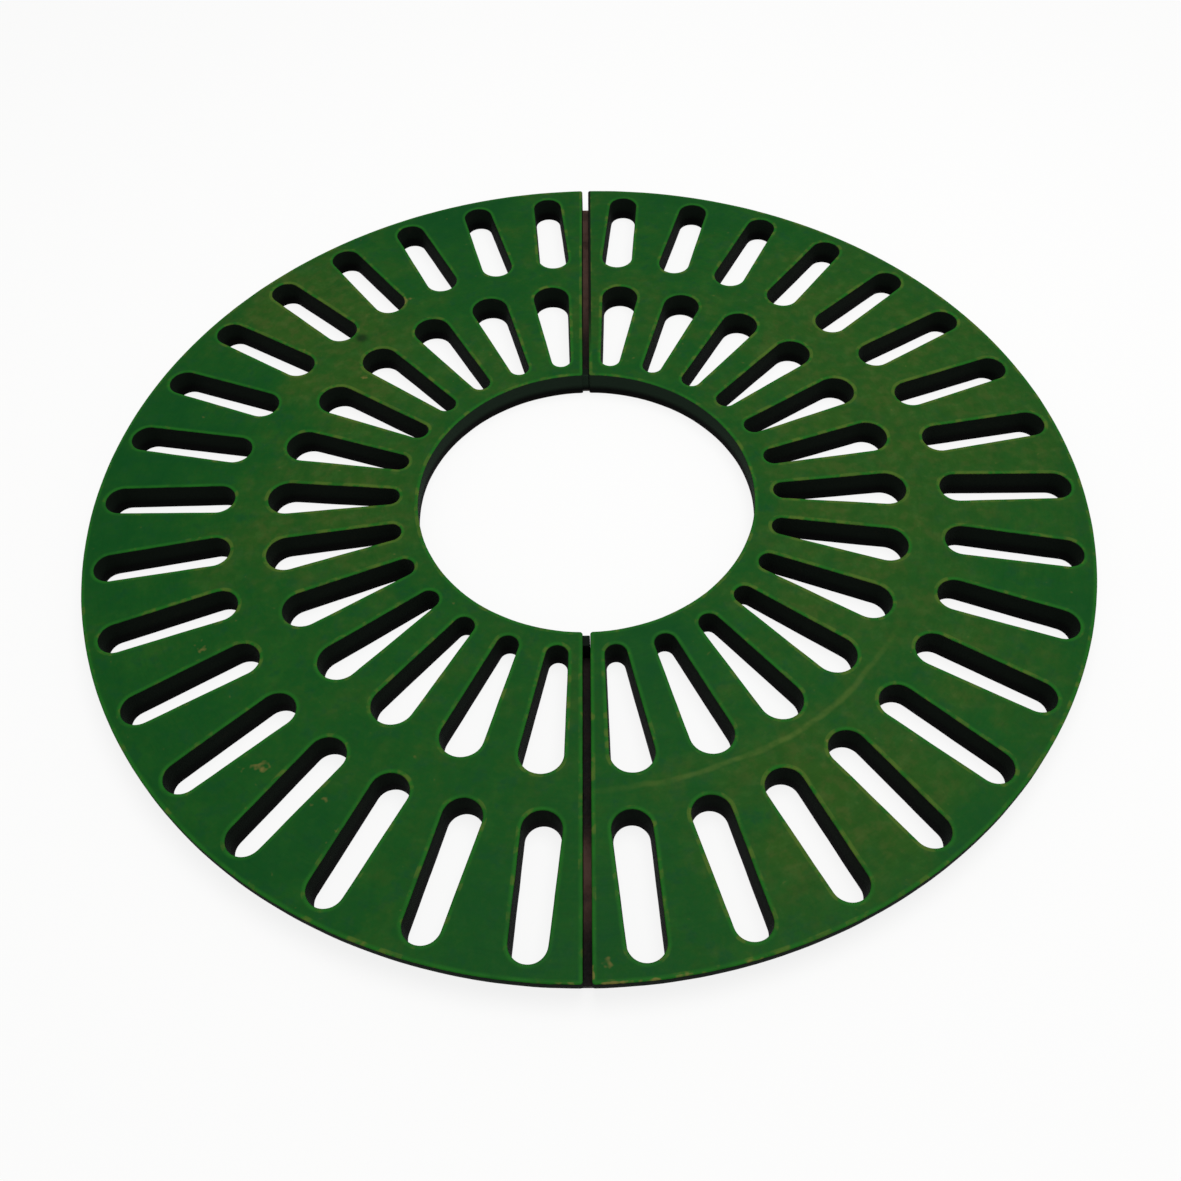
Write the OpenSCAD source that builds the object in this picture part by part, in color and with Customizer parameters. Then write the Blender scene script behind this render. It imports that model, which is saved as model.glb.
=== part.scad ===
// Round tree grate in two cast halves, laid round a trunk and joined over two recessed bars.
// Millimetres. +Z is up, the bed is z = 0, the joint between the halves runs along Y,
// and the origin is the middle of the tree opening on the bed.

/* [Overall] */
// Outside diameter of the whole grate
outer_d = 1200; // [1160:10:1300]
// Diameter of the tree opening at its top
opening_d = 408; // [390:2:420]
// Height of the castings
depth = 35; // [30:1:50]
// Clear gap between the two halves
joint_gap = 8.5; // [5:0.5:10]

/* [Slots] */
// Number of inner slots in each half
inner_count = 13; // [11:1:13]
// Number of outer slots in each half
outer_count = 17; // [14:1:17]
// Solid ring between the tree opening and the inner slots
opening_land = 19; // [18.5:0.5:26]
// Length of an inner slot, from end to end
inner_slot_l = 160; // [130:1:175]
// Solid ring between the two rows of slots
row_land = 41; // [38:1:50]
// Solid ring between the outer slots and the rim
rim_land = 18; // [15:0.5:24]
// Width of an inner slot at its inner end
inner_slot_w_in = 25; // [20:0.5:27]
// Width of an inner slot at its outer end
inner_slot_w_out = 48; // [40:0.5:52]
// Width of an outer slot at its inner end
outer_slot_w_in = 42; // [34:0.5:44]
// Width of an outer slot at its outer end
outer_slot_w_out = 39; // [32:0.5:44]

/* [Section] */
// Thickness of the top plate over the pockets
plate_t = 12; // [8:0.5:16]
// Thickness of the walls between slots and pockets
wall_t = 7; // [5:0.5:8]
// How far the wall of a slot leans in from its top to its foot
slot_draft = 2; // [0.5:0.25:3]
// How far the wall of the opening leans out from its top to its foot
opening_flare = 2; // [0.5:0.25:3]
// Metal kept between the opening and the recess of a joint bar
opening_wall = 3; // [2:0.5:3.5]
// Radius of the rounded top edges at the rim and the opening
arris_r = 2; // [1:0.5:4]
// Thickness of the rim that overhangs the frame's ledge
rim_t = 12; // [8:0.5:18]
// Width of the step under the rim
ledge_w = 8; // [4:0.5:9]
// Number of curved pockets under the ring between the rows
channel_count = 5; // [3:1:8]

/* [Spacer nibs] */
// Length along the joint of the two nibs that keep it open beside the tree opening
nib_l = 14; // [8:1:20]
// How far the top of a nib lies below the top of the grate
nib_drop = 4; // [3:0.5:8]
// Space between a nib and the right half
nib_play = 0.5; // [0.3:0.1:1]

/* [Joint bars] */
// Width of a joint bar
bar_w = 24; // [20:1:26]
// Thickness of a joint bar
bar_t = 5; // [4:0.5:8]
// Height of a joint bar above the bed
bar_lift = 0.5; // [0.3:0.1:1.5]
// Side clearance of a joint bar in its recess
bar_play = 0.5; // [0.3:0.1:1]
// Width of the arms across a joint bar
arm_w = 13; // [12.5:0.5:14]
// Reach of the two end arms to each side of the joint
end_arm_reach = 24; // [23.5:0.5:26]
// Reach of the middle arm to each side of the joint
mid_arm_reach = 40; // [36:1:46]
// Distance of the outer arm from the ledge under the rim
outer_arm_inset = 18; // [14:1:30]

/* [Screws and dowels] */
// Thread diameter of the countersunk screws
screw_d = 6; // [5:0.5:6.5]
// Length of a screw under the face of its head
screw_l = 16; // [12:1:20]
// Head diameter of a screw
screw_head_d = 11; // [10:0.25:11.5]
// Width across flats of the socket in a screw
socket_af = 4; // [3:0.5:4.5]
// Depth of that socket
socket_depth = 2.2; // [1.5:0.1:2.8]
// Distance of the screws from the middle of the joint
screw_x = 17; // [16:0.5:18]
// Distance of the dowels from the middle of the joint
dowel_x = 30; // [26:0.5:32]
// Diameter of the locating dowels
dowel_d = 8; // [6:0.5:10]
// How far a dowel stands above its bar
dowel_rise = 12; // [8:0.5:16]
// Chamfer at the top of a dowel
dowel_chamfer = 1.5; // [0.5:0.25:2]
// Radial clearance of a dowel in the half that drops over it
dowel_play = 0.4; // [0.3:0.1:0.8]
// Radial clearance of a screw or dowel in the piece that holds it
hold_play = 0.05; // [0.03:0.01:0.1]

/* [Hidden] */
$fn = 96;

// Cuts run this far past the faces that they open
past = 1;
// The straight sides of a slot end this far inside the round ends, so the two cross cleanly
tuck = 0.01;
// Space past the end of a screw or dowel in its blind hole
end_space = 2;
// Slope of a drill's point, from its axis
drill_half_angle = 59;
// The face of a screw's head lies this far inside the face of its bar
head_inset = 0.2;
// The end of a nib lies this far inside the foot of the opening's wall
nib_inset = 0.5;

outer_r = outer_d / 2;
opening_r = opening_d / 2;
opening_foot_r = opening_r + opening_flare;
edge_x = joint_gap / 2;
ledge_r = outer_r - ledge_w;
pocket_h = depth - plate_t;
slot_lean = slot_draft / depth;

// Radii of the slot rows, from the middle of each half's own straight edge
inner_start = opening_r + opening_land;
inner_end = inner_start + inner_slot_l;
outer_start = inner_end + row_land;
outer_end = outer_r - rim_land;
outer_slot_l = outer_end - outer_start;

// The ring pockets keep a wall to both rows and start past the middle arm of the bar
channel_w = row_land - 2 * wall_t;
channel_r = inner_end + wall_t;
channel_skip = asin((mid_arm_reach + bar_play + wall_t - edge_x) / channel_r);
channel_step = (180 - 2 * channel_skip) / channel_count;
channel_rib = wall_t / channel_r * 180 / PI;

// Places of the bar's arms along the joint
inner_arm_y = opening_foot_r + opening_wall + bar_play + arm_w / 2;
mid_arm_y = (inner_end + outer_start) / 2;
outer_arm_y = ledge_r - outer_arm_inset;
bar_start = inner_arm_y - arm_w / 2;
bar_end = ledge_r - bar_play;
bar_top = bar_lift + bar_t;
arm_ys = [inner_arm_y, mid_arm_y, outer_arm_y];

head_h = (screw_head_d - screw_d) / 2;
dowel_top = bar_top + dowel_rise;

// Outline of a tapered pocket with round ends, along +Y
module taper_plan(start, length, w_in, w_out) {
    c_in = start + w_in / 2;
    c_out = start + length - w_out / 2;
    lean = asin((w_out - w_in) / 2 / (c_out - c_in));
    r_in = w_in / 2 - tuck;
    r_out = w_out / 2 - tuck;
    translate([0, c_in]) circle(d = w_in);
    translate([0, c_out]) circle(d = w_out);
    polygon([
        [r_in * cos(lean), c_in - r_in * sin(lean)],
        [r_out * cos(lean), c_out - r_out * sin(lean)],
        [-r_out * cos(lean), c_out - r_out * sin(lean)],
        [-r_in * cos(lean), c_in - r_in * sin(lean)],
    ]);
}

// Corners of the straight part of a slot at a height, from its two end circles at the top
function slot_corners(z, c_in, c_out, r_in, r_out, lean) =
    let (
        near = r_in - (depth - z) * slot_lean - tuck,
        far = r_out - (depth - z) * slot_lean - tuck
    ) [
        [near * cos(lean), c_in - near * sin(lean), z],
        [far * cos(lean), c_out - far * sin(lean), z],
        [-far * cos(lean), c_out - far * sin(lean), z],
        [-near * cos(lean), c_in - near * sin(lean), z],
    ];

// A tapered slot along +Y with round ends and leaning walls: a cone at each end and the part between
module slot_cut(start, length, w_in, w_out) {
    c_in = start + w_in / 2;
    c_out = start + length - w_out / 2;
    lean = asin((w_out - w_in) / 2 / (c_out - c_in));
    loss = (depth + past) * slot_lean;
    gain = past * slot_lean;
    for (end = [[c_in, w_in / 2], [c_out, w_out / 2]])
        translate([0, end[0], -past])
            cylinder(r1 = end[1] - loss, r2 = end[1] + gain, h = depth + 2 * past);
    polyhedron(
        points = concat(
            slot_corners(-past, c_in, c_out, w_in / 2, w_out / 2, lean),
            slot_corners(depth + past, c_in, c_out, w_in / 2, w_out / 2, lean)
        ),
        faces = [[0, 1, 2, 3], [7, 6, 5, 4], [0, 4, 5, 1], [1, 5, 6, 2], [2, 6, 7, 3], [3, 7, 4, 0]]
    );
}

// One row of slots through a half, spread evenly over its 180 degrees
module slot_row(count, start, length, w_in, w_out) {
    pitch = 180 / count;
    for (k = [0 : count - 1])
        rotate([0, 0, -(k + 0.5) * pitch])
            slot_cut(start, length, w_in, w_out);
}

// The blind pockets in the underside, one in each land, a wall away from the slots on both sides
module pocket_row(count, start, length, w_in, w_out) {
    half_pitch = 90 / count;
    widening = (w_out - w_in) / (length - (w_in + w_out) / 2);
    squareness = cos(asin(widening / 2));
    // The room for a round end beside a slot grows with the distance of its centre
    growth = (sin(half_pitch) - widening / 2 * cos(half_pitch)) * squareness;
    room = -(w_in - widening * (start + w_in / 2)) / 2 * squareness - wall_t;
    first = start + wall_t;
    last = start + length - wall_t;
    r_first = (room + growth * first) / (1 - growth);
    r_last = (room + growth * last) / (1 + growth);
    for (k = [1 : count - 1])
        rotate([0, 0, -k * 2 * half_pitch])
            translate([0, 0, -past])
                linear_extrude(pocket_h + past)
                    taper_plan(first, last - first, 2 * r_first, 2 * r_last);
}

// The curved pockets under the ring between the two rows
module channel_row() {
    for (k = [0 : channel_count - 1])
        rotate([0, 0, -90 + channel_skip + k * channel_step + channel_rib / 2])
            translate([0, 0, -past])
                rotate_extrude(angle = channel_step - channel_rib)
                    translate([channel_r, 0])
                        square([channel_w, pocket_h + past]);
}

// Section through the ring of the grate, from the opening to the rim
module ring_section() {
    polygon([
        [opening_foot_r, 0],
        [ledge_r, 0],
        [ledge_r, depth - rim_t],
        [outer_r, depth - rim_t],
        [outer_r, depth - arris_r],
        [outer_r - arris_r, depth],
        [opening_r + arris_r, depth],
        [opening_r, depth - arris_r],
    ]);
    translate([outer_r - arris_r, depth - arris_r]) circle(r = arris_r);
    translate([opening_r + arris_r, depth - arris_r]) circle(r = arris_r);
}

// An arm of the joint bar, with round ends
module arm_plan(y, reach, grow) {
    r = arm_w / 2 + grow;
    straight = reach - arm_w / 2;
    translate([-straight, y - r]) square([2 * straight, 2 * r]);
    for (side = [-1, 1])
        translate([side * straight, y]) circle(r = r);
}

// Outline of a joint bar, grown by the clearance where it is a recess
module bar_plan(grow, end) {
    translate([-bar_w / 2 - grow, bar_start - grow]) square([bar_w + 2 * grow, end - bar_start + grow]);
    arm_plan(inner_arm_y, end_arm_reach, grow);
    arm_plan(mid_arm_y, mid_arm_reach, grow);
    arm_plan(outer_arm_y, end_arm_reach, grow);
}

// The recesses in the underside that take both joint bars
module bar_recesses() {
    for (side = [0, 1])
        mirror([0, side, 0])
            translate([0, 0, -past])
                linear_extrude(bar_top + past)
                    bar_plan(bar_play, outer_r + past);
}

// A blind hole up from a height, with a drill's point
module blind_hole(r, from, to) {
    translate([0, 0, from]) cylinder(r = r, h = to - from);
    translate([0, 0, to]) cylinder(r1 = r, r2 = 0, h = r / tan(drill_half_angle));
}

// One half as cast, on the +X side of the joint, before any drilling
module half_casting() {
    difference() {
        intersection() {
            rotate_extrude() ring_section();
            translate([edge_x, -outer_r - past, -past])
                cube([outer_r, 2 * (outer_r + past), depth + 2 * past]);
        }
        translate([edge_x, 0, 0]) {
            slot_row(inner_count, inner_start, inner_slot_l, inner_slot_w_in, inner_slot_w_out);
            slot_row(outer_count, outer_start, outer_slot_l, outer_slot_w_in, outer_slot_w_out);
            pocket_row(inner_count, inner_start, inner_slot_l, inner_slot_w_in, inner_slot_w_out);
            pocket_row(outer_count, outer_start, outer_slot_l, outer_slot_w_in, outer_slot_w_out);
            channel_row();
        }
        bar_recesses();
    }
}

// A cast nib on the face of the left half, over the end of the back bar
module spacer_nib() {
    foot = bar_top + bar_play;
    translate([-edge_x - past, opening_foot_r + nib_inset, foot])
        cube([joint_gap - nib_play + past, nib_l, depth - nib_drop - foot]);
}

// The half that carries both bars, with its two nibs and a tapped hole for each screw
module left_half() {
    color([0.11, 0.31, 0.13])
        difference() {
            union() {
                rotate([0, 0, 180]) half_casting();
                for (side = [0, 1])
                    mirror([0, side, 0]) spacer_nib();
            }
            for (side = [-1, 1], y = arm_ys)
                translate([-screw_x, side * y, 0])
                    blind_hole(screw_d / 2 + hold_play, bar_top - past, bar_lift + head_inset + screw_l + end_space);
        }
}

// The half that drops over the dowels
module right_half() {
    color([0.11, 0.31, 0.13])
        difference() {
            half_casting();
            for (side = [-1, 1])
                translate([dowel_x, side * mid_arm_y, 0])
                    blind_hole(dowel_d / 2 + dowel_play, bar_top - past, dowel_top + end_space);
        }
}

// A flat bar with three arms: screws hold its left side, a dowel stands on its right
module joint_bar() {
    color([0.24, 0.2, 0.17])
        difference() {
            translate([0, 0, bar_lift]) linear_extrude(bar_t) bar_plan(0, bar_end);
            for (y = arm_ys)
                translate([-screw_x, y, bar_lift]) {
                    translate([0, 0, -past]) cylinder(d = screw_d + 2 * hold_play, h = bar_t + 2 * past);
                    screw_cone(hold_play, past);
                }
            translate([dowel_x, mid_arm_y, bar_lift - past])
                cylinder(r = dowel_d / 2 + hold_play, h = bar_t + 2 * past);
        }
}

// The cone under a screw's head, carried on down by extra where it is a cut
module screw_cone(grow, extra) {
    foot = screw_head_d / 2 + grow;
    translate([0, 0, head_inset]) cylinder(r1 = foot, r2 = screw_d / 2 + grow, h = head_h);
    if (extra > 0)
        translate([0, 0, -extra]) cylinder(r = foot, h = extra + head_inset);
}

// A countersunk screw with a hexagon socket, head down
module screw() {
    difference() {
        union() {
            screw_cone(0, 0);
            translate([0, 0, head_inset + head_h]) cylinder(d = screw_d, h = screw_l - head_h);
        }
        translate([0, 0, head_inset - past]) cylinder(d = socket_af / cos(30), h = socket_depth + past, $fn = 6);
    }
}

// The screws of one bar
module bar_screws() {
    color([0.62, 0.63, 0.64])
        for (y = arm_ys)
            translate([-screw_x, y, bar_lift]) screw();
}

// The dowel of one bar, standing up through it
module locating_dowel() {
    color([0.62, 0.63, 0.64])
        translate([dowel_x, mid_arm_y, bar_lift]) {
            cylinder(d = dowel_d, h = bar_t + dowel_rise - dowel_chamfer);
            translate([0, 0, bar_t + dowel_rise - dowel_chamfer])
                cylinder(d1 = dowel_d, d2 = dowel_d - 2 * dowel_chamfer, h = dowel_chamfer);
        }
}

left_half();
right_half();
joint_bar();  // joint_bar_back
mirror([0, 1, 0]) joint_bar();  // joint_bar_front
bar_screws();  // bar_screws_back
mirror([0, 1, 0]) bar_screws();  // bar_screws_front
locating_dowel();  // locating_dowel_back
mirror([0, 1, 0]) locating_dowel();  // locating_dowel_front
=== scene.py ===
"""Dresses the round tree grate: two painted iron castings, the bars that join them, screws and dowels."""

from __future__ import annotations

import logging
import math
from dataclasses import dataclass, field
from enum import Enum

import bmesh
import bpy
import numpy as np
from mathutils import Matrix, Vector, geometry, noise


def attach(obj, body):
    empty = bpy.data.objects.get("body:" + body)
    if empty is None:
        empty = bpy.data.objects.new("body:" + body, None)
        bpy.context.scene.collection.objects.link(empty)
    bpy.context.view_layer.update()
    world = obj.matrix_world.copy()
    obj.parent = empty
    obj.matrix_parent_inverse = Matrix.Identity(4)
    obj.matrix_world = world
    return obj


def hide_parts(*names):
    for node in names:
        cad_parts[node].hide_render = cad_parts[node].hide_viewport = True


MM = 0.001
TAU = 2 * math.pi
# Points of an outline that are closer together than this count as one, in millimetres
SAME_SPOT = 1e-6
# How delaunay_2d_cdt fills a border: with triangles, and with none in the holes
TRIANGLES_BUT_HOLES = 2
# Waves in an edge moulded in sand: length in millimetres, share, and what is added to the seed
EDGE_WAVES = ((34, 0.7, 0), (11, 0.3, 9))
# near_edge on a rounded top edge, and on the flat just beside it
ON_EDGE = 1.0
BESIDE_EDGE = 0.8

Socket = bpy.types.NodeSocket
Tree = bpy.types.NodeTree

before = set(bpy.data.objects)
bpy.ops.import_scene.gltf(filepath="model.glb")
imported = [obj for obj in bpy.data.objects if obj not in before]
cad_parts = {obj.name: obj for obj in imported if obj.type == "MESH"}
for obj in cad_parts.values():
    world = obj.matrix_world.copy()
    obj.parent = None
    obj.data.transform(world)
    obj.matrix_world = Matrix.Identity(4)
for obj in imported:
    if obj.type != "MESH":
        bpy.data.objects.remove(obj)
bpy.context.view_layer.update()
log = logging.getLogger("tree_grate")


class Side(Enum):
    """The two halves of the grate, with the quarter turns that bring a half drawn on +X to its place."""

    LEFT = 2
    RIGHT = 0


class End(Enum):
    """The two ends of the joint between the halves, with the sign of Y there."""

    BACK = 1
    FRONT = -1


class Edit(Enum):
    """What one closed shell does to a piece, by the name of the boolean operation."""

    ADD = "UNION"
    CUT = "DIFFERENCE"


# Outlines and shells


def unit(turn: np.ndarray) -> np.ndarray:
    """Gives the directions in plan at angles in radians, as an array of n by 2."""
    return np.stack([np.cos(turn), np.sin(turn)], axis=1)


@dataclass(frozen=True)
class Arc:
    """One arc of an outline in plan, in millimetres and radians.

    The metal lies outside the arc where metal_out is true, and else towards its centre.
    """

    centre: tuple[float, float]
    radius: float
    start: float
    stop: float
    metal_out: bool = True

    def points(self, steps: int) -> tuple[np.ndarray, np.ndarray]:
        """Gives the points at equal steps along the arc and the direction into the metal at each."""
        away = unit(np.linspace(self.start, self.stop, steps + 1))
        return np.array(self.centre) + self.radius * away, away if self.metal_out else -away


@dataclass
class Outline:
    """A closed smooth line in plan with the direction into the metal, both as arrays of n by 2."""

    points: np.ndarray
    into: np.ndarray

    def moved(self, shift: float | np.ndarray) -> np.ndarray:
        """Gives the points moved into the metal by a shift in millimetres, one for all or one each."""
        return self.points + np.broadcast_to(shift, len(self.points))[:, None] * self.into

    def placed(self, turn: float, offset: tuple[float, float]) -> Outline:
        """Gives the outline turned anticlockwise about the origin and then moved.

        Args:
            turn: Angle in radians.
            offset: Move in plan in millimetres.

        Returns:
            The placed outline.
        """
        c, s = math.cos(turn), math.sin(turn)
        spin = np.array([[c, s], [-s, c]])
        return Outline(self.points @ spin + np.array(offset), self.into @ spin)

    def cast(self, swing: float, seed: float) -> Outline:
        """Gives the outline with the slight unevenness of an edge moulded in sand.

        Args:
            swing: Largest wander of the line in millimetres.
            seed: Number that sets this outline's own unevenness.

        Returns:
            The uneven outline.
        """
        wander = [
            sum(
                share * noise.noise(Vector((x / length, y / length, seed + more)))
                for length, share, more in EDGE_WAVES
            )
            for x, y in self.points
        ]
        return Outline(self.moved(swing * np.clip(wander, -1, 1)), self.into)


def steps_of(arcs: list[Arc], pitch: float, least: int) -> list[tuple[int, int]]:
    """Shares out the points of an outline.

    Args:
        arcs: The arcs in order; straight lines join each to the next and the last to the first.
        pitch: Wanted distance between points in millimetres.
        least: Least number of steps along an arc.

    Returns:
        For each arc, the steps along it and along the straight line after it.
    """
    counts = []
    for arc, after in zip(arcs, arcs[1:] + arcs[:1]):
        along = max(least, math.ceil(abs(arc.stop - arc.start) * arc.radius / pitch))
        gap = np.linalg.norm(after.points(1)[0][0] - arc.points(1)[0][-1])
        counts.append((along, max(1, math.ceil(gap / pitch)) if gap > SAME_SPOT else 0))
    return counts


def walk(arcs: list[Arc], counts: list[tuple[int, int]]) -> Outline:
    """Walks arcs and the straight lines between them once round.

    Args:
        arcs: The arcs in order.
        counts: The steps along each arc and along the line after it.

    Returns:
        The closed outline.
    """
    points, into = [], []
    for arc, after, (along, between) in zip(arcs, arcs[1:] + arcs[:1], counts):
        spots, ways = arc.points(along)
        last = len(spots) if between else len(spots) - 1
        points.extend(spots[:last])
        into.extend(ways[:last])
        target = after.points(1)[0][0]
        for k in range(1, between):
            points.append(spots[-1] + (target - spots[-1]) * k / between)
            into.append(ways[-1])
    return Outline(np.array(points), np.array(into))


def encloses(ring: list[Vector], spot: Vector) -> bool:
    """Tells whether a closed line in plan goes round a spot.

    Args:
        ring: The points of the line in order.
        spot: The spot.

    Returns:
        True where it does.
    """
    crossed = False
    for a, b in zip(ring, ring[1:] + ring[:1]):
        if (a.y > spot.y) != (b.y > spot.y) and spot.x < a.x + (spot.y - a.y) / (b.y - a.y) * (b.x - a.x):
            crossed = not crossed
    return crossed


@dataclass
class Shell:
    """Gathers a closed mesh ring by ring, in millimetres.

    near_edge is ON_EDGE on the rounded top edges, BESIDE_EDGE just beside them on the flat, and 0 a few
    millimetres further on.
    """

    points: list[tuple[float, float, float]] = field(default_factory=list)
    faces: list[tuple[int, ...]] = field(default_factory=list)
    near_edge: list[float] = field(default_factory=list)

    def ring(self, plan: np.ndarray, height: float | np.ndarray, near_edge: float = 0.0) -> list[int]:
        """Adds a ring of vertices.

        Args:
            plan: Points in plan.
            height: Height of all of them, or of each.
            near_edge: Closeness to a top edge, from 0 to 1.

        Returns:
            The numbers of the new vertices.
        """
        first = len(self.points)
        heights = np.broadcast_to(height, len(plan))
        self.points.extend((float(x), float(y), float(z)) for (x, y), z in zip(plan, heights))
        self.near_edge.extend([near_edge] * len(plan))
        return list(range(first, first + len(plan)))

    def skin(self, rings: list[list[int]]) -> None:
        """Joins rings of equal length with quads, each to the next.

        Args:
            rings: The rings of vertices in order.
        """
        for upper, lower in zip(rings, rings[1:]):
            for k, vertex in enumerate(upper):
                after = (k + 1) % len(upper)
                self.faces.append((vertex, lower[k], lower[after], upper[after]))

    def fill(self, border: list[int], holes: list[list[int]]) -> None:
        """Fills the flat region inside a border and outside its holes with triangles.

        Args:
            border: Ring of vertices round the region.
            holes: Rings of vertices of the openings in it.
        """
        rings = [border, *holes]
        numbers = [vertex for ring in rings for vertex in ring]
        owners = [number for number, ring in enumerate(rings) for _ in ring]
        plan = [Vector(self.points[vertex][:2]) for vertex in numbers]
        edges: list[tuple[int, int]] = []
        lines: list[list[Vector]] = []
        for ring in rings:
            first = len(edges)
            edges.extend((first + k, first + (k + 1) % len(ring)) for k in range(len(ring)))
            lines.append(plan[first : first + len(ring)])
        made = geometry.delaunay_2d_cdt(plan, edges, [], TRIANGLES_BUT_HOLES, SAME_SPOT)
        spots, origins = made[0], made[3]
        if len(spots) != len(plan):
            raise ValueError("the rings of a flat region cross")
        for face in made[2]:
            corners = [origins[k][0] for k in face]
            owner = owners[corners[0]]
            if owner and all(owners[k] == owner for k in corners):
                middle = sum((plan[k] for k in corners), Vector((0, 0))) / len(corners)
                if encloses(lines[owner], middle):
                    continue
            self.faces.append(tuple(numbers[k] for k in corners))

    def close(self, rings: list[list[int]]) -> None:
        """Skins rings and closes both ends with one flat face each."""
        self.skin(rings)
        self.faces.extend([tuple(rings[0]), tuple(rings[-1])])

    def close_with_triangles(self, rings: list[list[int]]) -> None:
        """Skins rings and fills both ends with triangles, for ends that may be hollow in outline.

        Args:
            rings: The rings of vertices in order.
        """
        self.skin(rings)
        for ring in (rings[0], rings[-1]):
            self.fill(ring, [])

    def take(self, other: Shell) -> None:
        """Takes over all of another shell.

        Args:
            other: The other shell.
        """
        first = len(self.points)
        self.points.extend(other.points)
        self.near_edge.extend(other.near_edge)
        self.faces.extend(tuple(first + vertex for vertex in face) for face in other.faces)

    def mesh(self, name: str) -> bpy.types.Mesh:
        """Makes the Blender mesh in metres, with its near_edge attribute.

        Args:
            name: Name of the mesh.

        Returns:
            The mesh.
        """
        made = bpy.data.meshes.new(name)
        made.from_pydata([[c * MM for c in p] for p in self.points], [], self.faces)
        made.validate()
        layer = made.attributes.new("near_edge", "FLOAT", "POINT")
        layer.data.foreach_set("value", self.near_edge)
        return made


def face_outwards(mesh: bpy.types.Mesh) -> None:
    """Turns all faces of a closed mesh outwards.

    Args:
        mesh: The mesh.
    """
    copy = bmesh.new()
    copy.from_mesh(mesh)
    bmesh.ops.recalc_face_normals(copy, faces=copy.faces)
    copy.to_mesh(mesh)
    copy.free()


def put(name: str, mesh: bpy.types.Mesh) -> bpy.types.Object:
    """Puts a mesh in the scene at the origin.

    Args:
        name: Name of the piece.
        mesh: Its mesh.

    Returns:
        Its object.
    """
    thing = bpy.data.objects.new(name, mesh)
    bpy.context.scene.collection.objects.link(thing)
    return thing


def smooth(thing: bpy.types.Object, crease: float = 32.0) -> None:
    """Shades a piece smooth, with edges sharper than a crease angle in degrees kept sharp."""
    thing.data.shade_smooth()
    thing.data.set_sharp_from_angle(angle=math.radians(crease))


def work(thing: bpy.types.Object, shell: Shell, edit: Edit) -> None:
    """Joins a closed shell to a piece or cuts it out of it.

    Args:
        thing: The piece.
        shell: The shell.
        edit: Which of the two.
    """
    mesh = shell.mesh(thing.name + "_tool")
    face_outwards(mesh)
    tool = put(mesh.name, mesh)
    step = thing.modifiers.new("edit", "BOOLEAN")
    step.operation, step.solver, step.object = edit.value, "EXACT", tool
    graph = bpy.context.evaluated_depsgraph_get()
    made = bpy.data.meshes.new_from_object(thing.evaluated_get(graph))
    thing.modifiers.remove(step)
    old, thing.data = thing.data, made
    bpy.data.meshes.remove(old)
    bpy.data.objects.remove(tool)
    bpy.data.meshes.remove(mesh)


def turned(profile: list[tuple[float, float]], centre: tuple[float, float], sides: int) -> Shell:
    """Turns a profile about an upright axis into a closed shell.

    Args:
        profile: Radius and height of each point from one end to the other; both ends are closed flat.
        centre: Place of the axis in plan.
        sides: Number of sides.

    Returns:
        The shell.
    """
    shell = Shell()
    circle = unit(np.arange(sides) * TAU / sides)
    shell.close([shell.ring(np.array(centre) + radius * circle, height) for radius, height in profile])
    return shell


# Colours and nodes


def linear(colour: str) -> tuple[float, float, float, float]:
    """Turns an sRGB hex colour to linear.

    Args:
        colour: The colour, such as "#1b5020".

    Returns:
        Its red, green and blue, and an alpha of 1.
    """
    parts = [int(colour[k : k + 2], 16) / 255 for k in (1, 3, 5)]
    red, green, blue = (c / 12.92 if c <= 0.04045 else ((c + 0.055) / 1.055) ** 2.4 for c in parts)
    return red, green, blue, 1.0


def per_metre(millimetres: float) -> float:
    """Gives the scale at which a noise has features of this size in millimetres, in object space."""
    return 1 / (millimetres * MM)


def add(
    tree: Tree, kind: str, links: dict | None = None, give: str = "", **settings: object
) -> Socket | None:
    """Adds a node with its settings and links.

    Args:
        tree: The material's or world's node tree.
        kind: Type of the node, without the leading "ShaderNode".
        links: For each input, by name or number, an output to link or a value to set.
        give: Name of the output wanted; without it, the first one in use.
        **settings: The node's own settings.

    Returns:
        That output, or None where the node has none.
    """
    node = tree.nodes.new("ShaderNode" + kind)
    for name, value in settings.items():
        setattr(node, name, value)
    for name, value in (links or {}).items():
        if isinstance(value, Socket):
            tree.links.new(value, node.inputs[name])
        else:
            node.inputs[name].default_value = value
    if give:
        return node.outputs[give]
    return next((output for output in node.outputs if not output.is_unavailable), None)


def blank(name: str) -> tuple[bpy.types.Material, Tree]:
    """Makes an empty node material.

    Args:
        name: Name of the material.

    Returns:
        The material and its node tree.
    """
    material = bpy.data.materials.new(name)
    material.use_nodes = True
    material.node_tree.nodes.clear()
    return material, material.node_tree


# Settings that are used again and again: a range with soft ends, a mix of colours and plain sums
SOFT = {"interpolation_type": "SMOOTHSTEP"}
TINT = {"data_type": "RGBA"}
PLUS = {"operation": "ADD"}
LESS = {"operation": "SUBTRACT"}
TIMES = {"operation": "MULTIPLY"}
TIMES_PLUS = {"operation": "MULTIPLY_ADD"}
# The middle of a noise's values, from 0 to 1
MIDDLE = 0.5


@dataclass(frozen=True)
class Patch:
    """A round place on the paint: its middle in plan, its radius and its strength. Millimetres."""

    x: float
    y: float
    radius: float
    strength: float

    @property
    def core(self) -> float:
        """Distance from its middle up to which it has its full strength."""
        return self.radius * 0.25

    @property
    def end(self) -> float:
        """Distance from its middle at which it has faded out."""
        return self.radius * 1.2


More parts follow.
